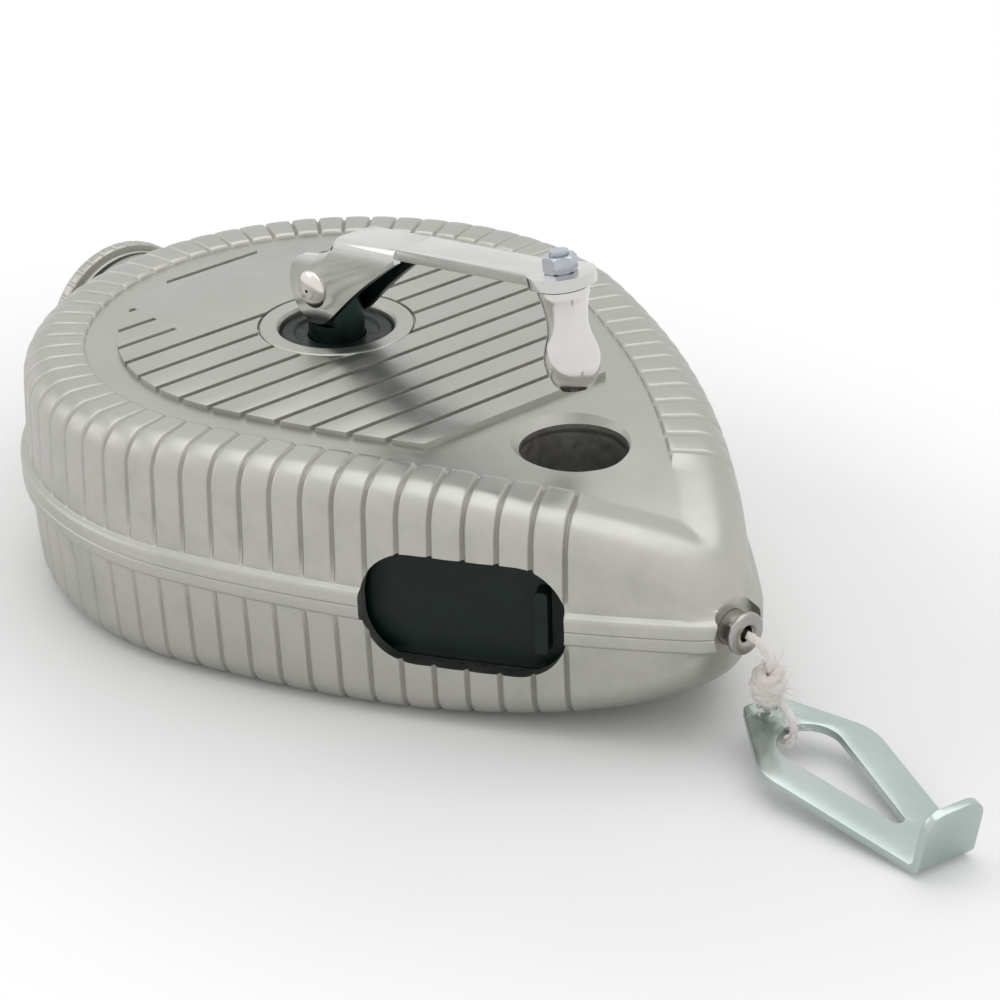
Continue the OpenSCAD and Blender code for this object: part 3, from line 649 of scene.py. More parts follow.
def foot(station, inset):
    kind, value = station[0], station[1]
    if kind == "rear":
        return (CASE_R - inset) * math.cos(value), (CASE_R - inset) * math.sin(value)
    if kind == "pads":
        return on_side(value, inset)
    x, radius, angle = inset_nose(inset)
    if kind == "plain":
        return on_side(plain_start + value * (angle - plain_start), inset)
    turn = angle * (1 - value)
    return x + radius * math.cos(turn), radius * math.sin(turn)


stations = near_stations()
print("stations on the near half:", len(stations), "pad pitch", round(pad_pitch, 2), "mm")

# %% [markdown]
# ## One half of the casting
# Each half is one closed skin. Its section starts at the parting plane, goes out round the bead,
# up the wall, over the rounded rim, along the top of the pads, down a small step to the smooth
# border, in to the hub axis, and back along the inside. Repeating that section at every station
# gives the grid of points that is wrapped. A row tells how far it lies inside the outline, how its
# height is found, and which way its surface leans, so that a groove sinks along the surface.

# %% Section rows
WALL = 2
DRAFT = 0.5
RIM_R = 4.5
PAD_REACH = 9.5
BORDER_DROP = 0.7
PLATE_UNDER = 2.9
FOOT_Z = 2.4
RIM_LOW = FOOT_Z + 0.5
ROW_RISE = 0.02
BEAD = ((-0.82, 0.0), (-1, 0.18), (-1, 1.45), (-0.93, 1.75), (-0.7, 2.0), (-0.35, 2.15), (0, FOOT_Z))
PAD_TOP = ((6.0, 0), (7.2, 0), (8.4, 0), (8.9, 0.03), (9.2, 0.13), (9.4, 0.36), (PAD_REACH, BORDER_DROP))
INWARD = (0.985, 0.96, 0.92, 0.86, 0.78, 0.68, 0.57, 0.45, 0.33, 0.2, 0.1, 0)
RETURN = (0, 0.3, 0.6, 0.85)


def section_rows():
    """(way, inset or share, height or drop, lean in degrees)"""
    rows = [("level", WALL, 0, None)]
    rows += [("level", inset, z, None) for inset, z in BEAD]
    rows += [("wall", DRAFT * share, share, 0) for share in (0.03, 0.2, 0.4, 0.6, 0.8)]
    for lean in range(0, 91, 9):
        a = math.radians(lean)
        rows.append(("top", DRAFT + RIM_R * (1 - math.cos(a)), RIM_R * (1 - math.sin(a)), lean))
    rows += [("top", inset, drop, 90) for inset, drop in PAD_TOP]
    rows += [("plate", share, BORDER_DROP, None) for share in INWARD]
    rows += [("plate", share, PLATE_UNDER, None) for share in RETURN]
    rows += [("top", WALL + 1, PLATE_UNDER, None), ("top", WALL, PLATE_UNDER + 1, None)]
    rows.append(("level", WALL, 0, None))
    return rows


def soft_max(a, b, softness=0.5):
    return (a + b + math.sqrt((a - b) ** 2 + softness**2)) / 2


def skin_point(row, station, order):
    way, inset, height, lean = row
    depth, plain = station[2], station[3]
    if way == "level":
        return (*foot(station, inset), height)
    if way == "plate":
        x, y = (inset * c for c in foot(station, PAD_REACH))
        return x, y, top_z(x) - height
    if way == "wall":
        x, y = foot(station, inset + depth * min(height * 8, 1))
        rim = soft_max(top_z(x) - RIM_R, RIM_LOW)
        return x, y, FOOT_Z + height * (rim - FOOT_Z)
    if lean is None:
        x, y = foot(station, inset)
        return x, y, max(top_z(x) - height, 0.5)
    a = math.radians(lean)
    x, y = foot(station, inset + depth * math.cos(a))
    ramp = BORDER_DROP * ease((inset - DRAFT - RIM_R) / (PAD_REACH - DRAFT - RIM_R))
    drop = height + depth * math.sin(a)
    if lean == 90:
        step = min(drop, BORDER_DROP)
        drop = step + plain * (ramp - step)
    return x, y, soft_max(top_z(x) - drop, RIM_LOW + ROW_RISE * order)


def half_net(way_up):
    rows = section_rows()
    near = [[skin_point(row, st, order) for order, row in enumerate(rows)] for st in stations]
    far = [[(x, -y, z) for x, y, z in column] for column in reversed(near[1:-1])]
    net = np.array(near + far + near[:1], float)
    net[:, :, 2] = HALF_H + way_up * net[:, :, 2]
    return net


top_case = wrapped("top_case", half_net(1))
bottom_case = wrapped("bottom_case", half_net(-1))
print("case halves:", len(top_case.data.polygons), "faces each")

# %% [markdown]
# ## Holes in the casting
# The case is pierced by the hanging hole with its chamfered mouths, the hub, the filler neck, the
# eyelet with a small recess round it, the chalk window and the screw heads. Each is a tool made
# like any piece and taken away with a boolean, which keeps the edges crisp and the walls true.

# %% Tools that cut the case
HANG_X, HANG_R, HANG_CHAMFER = 50, 7.25, 2
CHAMFER_Z = 14.9
HUB_R = 9.5
NECK_BORE = 9.6
NECK_IN, NECK_OUT = -41, -52.2
EYELET_R = 2.45
RECESS_R, RECESS_X = 4.1, 79.2
WINDOW_S, WINDOW_L, WINDOW_H, WINDOW_R = 42.8, 27.6, 16, 7
SCREW_AT, SCREW_HEAD = 35, 2.6
SCREW_ANGLES = (118, 158, 202, 242)


def hang_tool():
    wide = HANG_R + HANG_CHAMFER
    high, low = HALF_H + CHAMFER_Z, HALF_H - CHAMFER_Z
    section = [
        (0, -9), (wide + 7, -9), (wide, low - 2), (HANG_R, low),
        (HANG_R, high), (wide, high + 2), (wide + 7, 43), (0, 43),
    ]
    return placed(turned("hang_tool", section, 96), Matrix.Translation((HANG_X, 0, 0)))


def rod(name, radius, start, end):
    return placed(cylinder(name, radius, start, end), AT_PARTING)


def window_tool():
    angle = side_angle(WINDOW_S)
    middle = on_side(angle, 0)
    slot = rounded_box((0, 0), (WINDOW_L, WINDOW_H), WINDOW_R, 12)
    out = Vector((math.cos(angle), math.sin(angle), 0))
    along = Vector((-math.sin(angle), math.cos(angle), 0))
    turn = Matrix((along, (0, 0, 1), out)).transposed().to_4x4()
    return placed(stamped("window_tool", slot, -4, 3), Matrix.Translation((*middle, HALF_H)) @ turn)


def screw_tool(angle):
    a = math.radians(angle)
    place = Matrix.Translation((SCREW_AT * math.cos(a), SCREW_AT * math.sin(a), 0))
    return placed(cylinder("screw_tool", SCREW_HEAD, -1, 2, 32), place)


for half in (top_case, bottom_case):
    cut(half, hang_tool())
    cut(half, window_tool())
    cut(half, rod("neck_tool", NECK_BORE, NECK_OUT - 4, NECK_IN))
    cut(half, rod("eyelet_tool", EYELET_R, 70, 90))
    cut(half, rod("recess_tool", RECESS_R, RECESS_X, 90))
cut(top_case, cylinder("hub_tool", HUB_R, 20, 40))
for angle in SCREW_ANGLES:
    cut(bottom_case, screw_tool(angle))
for half, shell in ((top_case, "top_shell"), (bottom_case, "bottom_shell")):
    smooth(half, 32)
    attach(half, "case")
    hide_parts(shell)
    print(half.name, len(half.data.polygons), "faces after cutting")

# %% [markdown]
# ## The raised panel
# Between the smooth border and the hub the top carries a raised panel of cross bars, with a bare
# field at the rear. A panel of that outline is stamped, the grooves are cut out of it, and a bevel
# rounds every upper edge, so each bar ends in the small highlight that the casting shows. The
# underside has the same panel without grooves.

# %% Stamp the panel and cut the grooves
PANEL_INSET = 14
PANEL_FRONT = 39
PANEL_SUNK = 0.4
BAR_PITCH, BAR_GROOVE = 4.9, 0.9
BARS = range(-6, 9)
LABEL_BARS = range(-5, -2)
LABEL_EDGE = -17.5
RING_R, RING_GAP = 11, 0.25


def panel_outline():
    rear = [(CASE_R - PANEL_INSET, a) for a in np.linspace(math.pi, 2 * math.pi + side_start, 40)]
    near = [(r * math.cos(a), r * math.sin(a)) for r, a in rear]
    front = -math.acos((PANEL_FRONT - side_x) / (SIDE_R - PANEL_INSET))
    near += [on_side(a, PANEL_INSET) for a in np.linspace(side_start, front, 12)[1:]]
    return near + [(x, -y) for x, y in reversed(near[1:])]


def bar_groove(k):
    x = k * BAR_PITCH
    end = LABEL_EDGE if k in LABEL_BARS else 60
    half = BAR_GROOVE / 2
    outline = [(x - half, -60), (x + half, -60), (x + half, end), (x - half, end)]
    return stamped("groove_tool", outline, 2 * HALF_H - BORDER_DROP - 0.02, 2 * HALF_H + 1)


panel = stamped("panel_bars", panel_outline(), 2 * HALF_H - BORDER_DROP - PANEL_SUNK, 2 * HALF_H)
for k in BARS:
    cut(panel, bar_groove(k))
cut(panel, cylinder("ring_tool", RING_R + RING_GAP, 30, 36))
bevelled(panel, 0.3, 3)
smooth(panel)

base_panel = stamped("base_panel", panel_outline(), 0, BORDER_DROP + PANEL_SUNK)
for angle in SCREW_ANGLES:
    cut(base_panel, screw_tool(angle))
bevelled(base_panel, 0.25, 2)
smooth(base_panel)
for piece in (panel, base_panel):
    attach(piece, "case")
    print(piece.name, len(piece.data.polygons), "faces")

# %% [markdown]
# ## Turned details of the case
# The hub ring, the tube of the hanging hole, the filler neck and the eyelet are all round, so each
# is a section turned on its axis. Rounded corners in the section take the place of a bevel.

# %% Hub ring, hanging tube and filler neck
# Corners of the sections: radius, height along the axis, rounding
HUB_RING = (
    (6.6, 30.4, 0), (RING_R, 30.4, 0), (RING_R, 34, 0.35), (8.6, 34, 0.3), (8.25, 33.4, 0.2),
    (8.2, 31.7, 0), (6.6, 31.7, 0),
)
TUBE = ((HANG_R, 2.6), (HANG_R + 2, 2.6), (HANG_R + 2, 31.2), (HANG_R, 31.2))
NECK = ((NECK_BORE, NECK_OUT, 0.3), (12, NECK_OUT, 0.5), (12, NECK_IN, 0), (NECK_BORE, NECK_IN, 0))
hub_ring = turned("hub_ring", rounded(HUB_RING), 96)
hang_tube = placed(turned("hang_tube", TUBE, 96), Matrix.Translation((HANG_X, 0, 0)))
neck = placed(turned("filler_neck", rounded(NECK), 96), AT_PARTING)
for piece in (hub_ring, hang_tube, neck):
    smooth(piece)
    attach(piece, "case")

# %% Eyelet in the nose
EYELET_END = 82.2
EYELET = (
    (1.0, 76.8, 0), (2.4, 76.8, 0), (2.4, 81.2, 0), (2.9, 81.2, 0.3), (2.9, EYELET_END, 0.45),
    (1.0, EYELET_END, 0.6),
)
eyelet = placed(turned("eyelet", rounded(EYELET, 6), 48), AT_PARTING)
smooth(eyelet)
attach(eyelet, "case")
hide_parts("line_eyelet")
print("round details:", hub_ring.name, hang_tube.name, neck.name, eyelet.name)

# %% [markdown]
# ## The filler plug
# A short turned plug closes the neck behind the rear wall, with a coin-edged flange to grip. The
# flange is turned first, and a ring of shallow flutes is then cut round it.

# %% Turn the plug and flute its edge
PLUG_R = 13
PLUG = (
    (0, -56.2, 0), (PLUG_R, -56.2, 0.7), (PLUG_R, -54.0, 0.4), (12, -53.9, 0), (12, -53.0, 0.2),
    (9.5, -53.0, 0), (9.5, -43.7, 0.4), (7.9, -43.7, 0.3), (7.9, -52.2, 0), (0, -52.2, 0),
)
FLUTES, FLUTE_R = 36, 0.45
FLUTE_AT = PLUG_R + 0.2
plug = turned("plug", rounded(PLUG), FLUTES * 4)
flutes = [cylinder(f"flute{k}", FLUTE_R, -57, -53.95, 10) for k in range(FLUTES)]
for k, flute in enumerate(flutes):
    a = 2 * math.pi * (k + 0.5) / FLUTES
    placed(flute, Matrix.Translation((FLUTE_AT * math.cos(a), FLUTE_AT * math.sin(a), 0)))
cut(plug, joined("flutes", *flutes))
placed(plug, AT_PARTING)
smooth(plug)
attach(plug, "plug")
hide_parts("filler_plug")
print("plug:", len(plug.data.polygons), "faces")

# %% [markdown]
# ## The hub bush and the crank pivot
# A dark bush fills the hub, and the spindle rises through it to a flat head between two ears of
# the crank. The bush is turned with a shallow dish in its face. The pivot pin is a rod with two
# domed rivet heads, turned along the pin.

# %% Bush and rivet pin
PIN_Z = 40.4
CRANK_REST = math.radians(-9)
CRANK = Matrix.Translation((0, 0, PIN_Z)) @ Matrix.Rotation(CRANK_REST, 4, "Y")
EAR_OUT, EAR_IN = 3.95, 2.85

BUSH = (
    (4.1, 29.5, 0), (6.5, 29.5, 0), (6.5, 31.8, 0), (8, 31.8, 0), (8, 33, 0.4), (6.2, 33, 0.3),
    (5.9, 32.6, 0.2), (4.1, 32.6, 0.2),
)
bush = turned("bush", rounded(BUSH), 96)
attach(bush, "case")
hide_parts("hub_bush")

RIVET_R, RIVET_H, PIN_R = 2.75, 1.0, 1.45
quarter = np.linspace(0, math.pi / 2, 9)
dome = [(RIVET_R * math.cos(a), EAR_OUT + RIVET_H * math.sin(a)) for a in quarter]
dome[-1] = (0, EAR_OUT + RIVET_H)
rivet = turned("rivet", [
    (PIN_R, EAR_OUT), (RIVET_R, EAR_OUT), *dome[1:], *((r, -z) for r, z in reversed(dome[1:-1])),
    (RIVET_R, -EAR_OUT), (PIN_R, -EAR_OUT),
], 48)
placed(rivet, CRANK @ ALONG_Y)
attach(rivet, "crank")
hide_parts("fold_pin")
for piece in (bush, rivet):
    smooth(piece)
    print(piece.name, len(piece.data.polygons), "faces")

# %% [markdown]
# ## The crank arm
# The arm is one stamping: a flat strap whose inner end is folded down into a channel with two
# round ears. Folding a blank would need a careful layout of the ears, so the channel is made as a
# rounded section extruded along the arm and kept only inside the arm's side outline, which is how
# a press die trims it. The strap is stamped and joined on, and a small bevel rounds all edges. The
# faces that look down, and those inside the channel, are noted for painted shade: a dark zinc that
# stands in for the shade under the arm and inside the channel.

# %% Channel with ears, strap and holes
STRAP_LOW, STRAP_HIGH = 6.6, 8.2
WEB_FRONT, WEB_END = 7.5, 20
CRANK_L = 50
EYE_R, EAR_R = 4.5, 5.1
STRAP_HALF, STRAP_FLARE, STRAP_INSET = 3.1, 0.3, 0.03
EAR_FROM, EAR_TO = 100, 302
EAR_BOW = 0.6
CHANNEL_LOW, CHANNEL_BACK = -8, -8
SCREW_R = 1.3


def channel():
    outer = [
        (-EAR_OUT, CHANNEL_LOW, 0), (-EAR_OUT, STRAP_HIGH, 1.3), (EAR_OUT, STRAP_HIGH, 1.3),
        (EAR_OUT, CHANNEL_LOW, 0),
    ]
    inner = [
        (EAR_IN, CHANNEL_LOW, 0), (EAR_IN, STRAP_LOW, 0.5), (-EAR_IN, STRAP_LOW, 0.5),
        (-EAR_IN, CHANNEL_LOW, 0),
    ]
    piece = stamped("channel", rounded(outer, 8) + rounded(inner, 5), CHANNEL_BACK, WEB_END)
    return placed(piece, Matrix(((0, 0, 1, 0), (1, 0, 0, 0), (0, 1, 0, 0), (0, 0, 0, 1))))


def side_outline():
    ear = arc((0, 0), EAR_R, EAR_FROM, EAR_TO, 40)
    shares = np.linspace(0, 1, 14)[1:]
    sweep = [Vector(ear[-1]).lerp(Vector((WEB_END + 1, STRAP_LOW)), t) for t in shares]
    bowed = [(p.x, p.y + EAR_BOW * math.sin(math.pi * t)) for p, t in zip(sweep, shares)]
    notch = rounded([
        (WEB_END + 1, STRAP_HIGH + 1, 0), (WEB_FRONT - 0.6, STRAP_HIGH + 1, 0),
        (WEB_FRONT - 0.9, STRAP_HIGH - 1.6, 1.2), (ear[0][0] + 3.4, ear[0][1] + 0.3, 0),
    ], 5)
    return ear + bowed + notch


def strap_outline():
    reach = math.degrees(math.asin(STRAP_HALF / EYE_R))
    eye = arc((CRANK_L, 0), EYE_R, reach - 180, 180 - reach, 40)
    root = STRAP_HALF + STRAP_FLARE
    return [(WEB_END - 1, root), (WEB_END - 1, -root), *eye]


crank = channel()
cut(crank, placed(stamped("side_tool", side_outline(), -9, 9), ALONG_Y), "INTERSECT")
strap = stamped("strap", strap_outline(), STRAP_LOW + STRAP_INSET, STRAP_HIGH - STRAP_INSET)
cut(crank, strap, "UNION")
cut(crank, placed(cylinder("pin_hole", PIN_R + 0.05, -9, 9, 48), ALONG_Y))
cut(crank, placed(cylinder("screw_hole", SCREW_R, 0, 12, 32), Matrix.Translation((CRANK_L, 0, 0))))
crank = named("crank_strap")
closed(crank, 0.01)
bevelled(crank, 0.25, 3, 40)
# Faces that look down or lie inside the channel, noted here to get painted shade
inside_y, inside_z = (EAR_IN + 0.02) * MM, (STRAP_LOW + 0.02) * MM
painted_shade_faces = [
    face.normal.z < -0.5 or (abs(face.center.y) < inside_y and face.center.z < inside_z)
    for face in crank.data.polygons
]
placed(crank, CRANK)
smooth(crank)
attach(crank, "crank")
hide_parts("crank_arm")
print("crank:", len(crank.data.polygons), "faces")

# %% [markdown]
# ## The knob, its nut and its screw end
# The knob is a turned handle with a trumpet top, a waist, a belly and a rounded end, so its
# section is a smooth curve through a few radii. The nut is a hexagon whose corners are turned
# down to cones at both faces, as on a bought nut.

# %% Turn the knob
KNOB_TOP, KNOB_LOW = 6.1, -7.4
KNOB_BORE, SEAT_R, SEAT_DEEP = 1.35, 1.9, 1.2
KNOB_RADII = (
    (0, 3.4), (0.06, 3.36), (0.14, 3.08), (0.26, 2.8), (0.38, 2.72), (0.48, 2.92), (0.58, 3.38),
    (0.68, 3.68), (0.77, 3.66), (0.86, 3.34), (0.94, 2.84), (1, 2.25),
)


def knob_section():
    curve = smooth_path([(s, r, 0) for s, r in KNOB_RADII], 5)
    outer = [(r, KNOB_TOP + (KNOB_LOW - KNOB_TOP) * s) for s, r, _ in curve]
    seat = KNOB_LOW + SEAT_DEEP
    return [(KNOB_BORE, KNOB_TOP), *outer, (SEAT_R, KNOB_LOW), (SEAT_R, seat), (KNOB_BORE, seat)]


at_knob = CRANK @ Matrix.Translation((CRANK_L, 0, 0))
knob = placed(turned("knob", knob_section(), 64), at_knob)
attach(knob, "knob")
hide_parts("crank_knob")

# %% Nut on top of the strap
NUT_R, NUT_LOW, NUT_HIGH = 2.3, 8.2, 10.4
NUT_CONE = (
    (0, NUT_LOW), (2.05, NUT_LOW), (2.36, NUT_LOW + 0.3), (2.36, NUT_HIGH - 0.35), (2, NUT_HIGH),
    (0, NUT_HIGH),
)
hexagon = [(NUT_R * math.cos(a), NUT_R * math.sin(a)) for a in np.radians(range(0, 360, 60))]
nut = stamped("nut", hexagon, NUT_LOW, NUT_HIGH)
cut(nut, turned("nut_cone", NUT_CONE, 48), "INTERSECT")
cut(nut, cylinder("nut_bore", SCREW_R, 8, 11, 32))
bevelled(nut, 0.08, 2)
placed(nut, at_knob)
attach(nut, "crank")
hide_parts("knob_nut")
for piece in (knob, nut):
    smooth(piece)
    print(piece.name, len(piece.data.polygons), "faces")

# %% [markdown]
# ## The chalk door
# The door is a thin plastic strip that slides behind the window along the curved wall. It is
# stamped flat, cut across many times, and rolled onto the wall's circle, with its finger lip.

# %% Stamp the door flat and roll it on the wall
DOOR_S = (28.2, 57.4)
DOOR_Z = (8.2, 25.8)
DOOR_LOW, DOOR_THICK = 199.9, 1.1
LIP_S, LIP_W, LIP_H, LIP_OUT, LIP_ROUND = 53.2, 1.8, 9, 2.4, 0.6


def rolled(piece):
    points = points_of(piece)
    angle = side_start + points[:, 0] / SIDE_R
    radius = DOOR_LOW + points[:, 2]
    put_points(piece, np.stack(
        [side_x + radius * np.cos(angle), side_y + radius * np.sin(angle), points[:, 1]], axis=1
    ))
    return closed(piece)


(s0, s1), (z0, z1) = DOOR_S, DOOR_Z
door = stamped("door", [(s0, z0), (s1, z0), (s1, z1), (s0, z1)], 0, DOOR_THICK)
lip_outline = rounded_box((LIP_S, (z0 + z1) / 2), (LIP_W, LIP_H), LIP_ROUND)
lip = stamped("lip", lip_outline, DOOR_THICK - 0.3, DOOR_THICK + LIP_OUT)
cut(door, lip, "UNION")
bevelled(door, 0.2, 2)
sliced(door, np.linspace(s0, s1, 25)[1:-1], (1, 0, 0))
rolled(door)
smooth(door)
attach(door, "door")
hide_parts("chalk_door")
print("door:", len(door.data.polygons), "faces")

# %% [markdown]
# ## The winding and the line inside
# With the door open the wound string shows on its spool, and a run of string goes from it to the
# eyelet. A plain drum would not read as string, so the winding is turned from a section of round
# humps, one for each turn of its outer layer.

# %% Turn the winding
wind_low, wind_high = (np.array(v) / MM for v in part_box("wound_line"))
WIND_R = (wind_high[0] - wind_low[0]) / 2
WIND_CORE = 10.05


def winding_section():
    z0, z1 = wind_low[2] + 0.02, wind_high[2] - 0.02
    turns = int((z1 - z0) / STRING_D)
    pitch = (z1 - z0) / turns
    section = [(WIND_CORE, z0)]
    for k in range(turns):
        middle = z0 + pitch * (k + 0.5)
        section += [(WIND_R - pitch / 2 + pitch / 2 * math.cos(a), middle + pitch / 2 * math.sin(a))
                    for a in np.radians(range(-80, 81, 20))]
    return section + [(WIND_CORE, z1)]


winding = turned("winding", winding_section(), 96)
smooth(winding, 60)
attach(winding, "reel")
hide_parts("wound_line")

run_low, run_high = (np.array(v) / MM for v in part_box("line_run"))
print("winding:", len(winding.data.polygons), "faces; line run box", run_low.round(2), run_high.round(2))

# %% String inside and the felt that wipes it
RUN = np.array([(10.3, 26.58), (52.46, 10.23), (72.8, 0), (EYELET_END - 1.4, 0)])
RUN_POINTS = 80
run_at = np.concatenate([[0], np.cumsum(np.linalg.norm(np.diff(RUN, axis=0), axis=1))])
run_steps = np.linspace(0, run_at[-1], RUN_POINTS)
run_x, run_y = (np.interp(run_steps, run_at, column) for column in RUN.T)
run_path = np.stack([run_x, run_y, np.full(RUN_POINTS, HALF_H)], axis=1)
line_inside = twisted_string("line_inside", run_path, STRING_D * 0.98)
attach(line_inside, "case")
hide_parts("line_run")

WIPER = ((0.9, 73.3, 0.3), (3.5, 73.3, 0.7), (3.5, 76.7, 0.7), (0.9, 76.7, 0.3))
wiper = placed(turned("wiper", rounded(WIPER), 40), AT_PARTING)
smooth(wiper, 50)
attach(wiper, "case")
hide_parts("felt_wiper")
print("line inside:", round(path_length(run_path), 1), "mm")

# %% [markdown]
# ## Building a finish from nodes
# Every finish here is one Principled shader with noise behind it: a slow noise that shifts the
# colour, one that shifts the roughness, and a fine one for the bump. All read Object coordinates,
# which are the metres of the model, so a scale of 400 gives patches of about 2.5 mm.


# %% Helpers for finishes
def new_finish(name, **sockets):
    material = bpy.data.materials.new(name)
    material.use_nodes = True
    shader = material.node_tree.nodes["Principled BSDF"]
    for key, value in sockets.items():
        shader.inputs[key.replace("_", " ")].default_value = value
    return material


def node(material, kind, **settings):
    """A node with its sockets and settings; From_Min stands for the socket From Min."""
    made = material.node_tree.nodes.new("ShaderNode" + kind)
    for key, value in settings.items():
        socket = key.replace("_", " ")
        if socket in made.inputs:
            made.inputs[socket].default_value = value
        else:
            setattr(made, key, value)
    return made


def link(material, source, target):
    material.node_tree.links.new(source, target)


def shader_of(material):
    return material.node_tree.nodes["Principled BSDF"]


def noise(material, scale, detail=4, stretch=(1, 1, 1), turn=(0, 0, 0)):
    place = node(material, "TexCoord")
    mapping = node(material, "Mapping", Scale=stretch, Rotation=turn)
    texture = node(material, "TexNoise", Scale=scale, Detail=detail)
    link(material, place.outputs["Object"], mapping.inputs["Vector"])
    link(material, mapping.outputs["Vector"], texture.inputs["Vector"])
    return texture.outputs["Fac"]


def spread(material, source, low, high):
    """Turns a noise that stays near the middle into a number from low to high."""
    level = node(material, "MapRange", From_Min=0.3, From_Max=0.7, To_Min=low, To_Max=high)
    link(material, source, level.inputs["Value"])
    return level.outputs["Result"]


def shades(material, source, *colours):
    """Colours laid out evenly over a noise."""
    ramp = node(material, "ValToRGB")
    stops = ramp.color_ramp.elements
    while len(stops) < len(colours):
        stops.new(0.5)
    for k, (stop, colour) in enumerate(zip(stops, colours)):
        stop.position = 0.3 + 0.4 * k / (len(colours) - 1)
        stop.color = (*colour, 1)
    link(material, source, ramp.inputs["Fac"])
    return ramp.outputs["Color"]


def grain(material, source, strength, depth):
    """Bump of a given depth in millimetres."""
    bump = node(material, "Bump", Strength=strength, Distance=depth * MM)
    link(material, source, bump.inputs["Height"])
    link(material, bump.outputs["Normal"], shader_of(material).inputs["Normal"])


# %% [markdown]
# ## Cast aluminium
# Tumbling polishes the flat tops and leaves the steep walls duller, with the faint pinkish and
# greenish cast of raw aluminium. So the roughness follows the surface's own slope: polished where
# the normal points up or down, satin where it points sideways. The colour follows the slope too, as
# painted light: the walls are painted lighter and the tops darker.

# %% Cast finish
cast = new_finish("cast_aluminium", Metallic=1.0)
shader = shader_of(cast)
slope = node(cast, "SeparateXYZ")
link(cast, node(cast, "TexCoord").outputs["Normal"], slope.inputs["Vector"])
upright = node(cast, "Math", operation="ABSOLUTE")
link(cast, slope.outputs["Z"], upright.inputs[0])
flatness = node(cast, "MapRange", interpolation_type="SMOOTHSTEP", From_Min=0.55, From_Max=0.98)
link(cast, upright.outputs["Value"], flatness.inputs["Value"])

# Painted light by slope: walls lighter, tops darker, each with a random tone
wall_tone_painted_lighter = shades(cast, noise(cast, 120, 3), (0.44, 0.44, 0.4), (0.48, 0.475, 0.44), (0.5, 0.475, 0.455))
top_tone_painted_darker = shades(cast, noise(cast, 60, 2), (0.39, 0.4, 0.365), (0.43, 0.43, 0.4))
cast_tone_with_painted_light = node(cast, "Mix", data_type="RGBA")
link(cast, flatness.outputs["Result"], cast_tone_with_painted_light.inputs["Factor"])
link(cast, wall_tone_painted_lighter, cast_tone_with_painted_light.inputs["A"])
link(cast, top_tone_painted_darker, cast_tone_with_painted_light.inputs["B"])
link(cast, cast_tone_with_painted_light.outputs["Result"], shader.inputs["Base Color"])

wall_rough = spread(cast, noise(cast, 900, 3), 0.4, 0.52)
top_rough = spread(cast, noise(cast, 300, 3), 0.3, 0.38)
rough = node(cast, "Mix", data_type="FLOAT")
link(cast, flatness.outputs["Result"], rough.inputs["Factor"])
link(cast, wall_rough, rough.inputs["A"])
link(cast, top_rough, rough.inputs["B"])
link(cast, rough.outputs["Result"], shader.inputs["Roughness"])
grain(cast, noise(cast, 1600, 5), 0.25, 0.02)

# %% [markdown]
# ## Plated, turned and plain steel
# Bright zinc is pale with a soft haze; the hook's zinc is bluer and greener. The spindle is dark,
# and the crank's underside and the inside of its channel get the same dark zinc as painted shade.
# Turned aluminium carries fine rings, which are a noise squeezed along the axis of the lathe. The
# inner pieces are plain steel, seen only through the window or from below. One function puts
# noise on the colour, the roughness and the bump of a finish.


# %% Metal finishes
def finish(name, colours, rough, scales, details, bump, metallic=0.0, stretch=(1, 1, 1), turn=(0, 0, 0)):
    material = new_finish(name, Metallic=metallic)
    sockets = shader_of(material).inputs
    tone = noise(material, scales[0], details[0])
    link(material, shades(material, tone, *colours), sockets["Base Color"])
    haze = noise(material, scales[1], details[1], stretch, turn)
    link(material, spread(material, haze, *rough), sockets["Roughness"])
    grain(material, noise(material, scales[2], details[2], stretch, turn), *bump)
    return material


def metal(name, colours, rough, patch=250, stretch=(1, 1, 1), turn=(0, 0, 0), depth=0.012):
    scales = (patch, patch * 3, 1500)
    return finish(name, colours, rough, scales, (3, 4, 4), (0.08, depth), 1.0, stretch, turn)


CRANK_TURN = (0, -CRANK_REST, 0)
bright_zinc = metal("bright_zinc", [(0.58, 0.58, 0.56), (0.64, 0.64, 0.62)], (0.16, 0.22), 120)
# Dark zinc for the spindle, and painted shade on the crank's underside and channel
dark_zinc_and_painted_shade = metal("dark_zinc_and_painted_shade", [(0.035, 0.06, 0.055), (0.06, 0.09, 0.08)], (0.3, 0.45), 120)
blue_zinc = metal("blue_zinc", [(0.42, 0.5, 0.47), (0.5, 0.55, 0.53)], (0.18, 0.26), 90)
nut_zinc = metal("nut_zinc", [(0.42, 0.45, 0.5), (0.52, 0.54, 0.58)], (0.2, 0.32))
turned_metal = metal("turned_aluminium", [(0.64, 0.62, 0.6), (0.7, 0.68, 0.66)], (0.13, 0.2), 200,
                     (0.15, 0.15, 1), CRANK_TURN, 0.006)
rivet_metal = metal("rivet_metal", [(0.72, 0.68, 0.65), (0.8, 0.75, 0.73)], (0.16, 0.26))
plain_steel = metal("plain_steel", [(0.42, 0.42, 0.41), (0.55, 0.55, 0.54)], (0.25, 0.4))
eyelet_steel = metal("eyelet_steel", [(0.34, 0.33, 0.31), (0.44, 0.42, 0.4)], (0.2, 0.3))

# %% [markdown]
# ## Plastic, rubber, cotton and felt
# The bush and the door are moulded in a dark green-black plastic with chalk dust in its grain.
# Cotton scatters light softly, so it gets a sheen and a coarse bump of fibres.


# %% Soft and dark finishes
def moulded(name, colours, rough, fine=1800, depth=0.02):
    return finish(name, colours, rough, (220, 700, fine), (5, 4, 4), (0.35, depth))


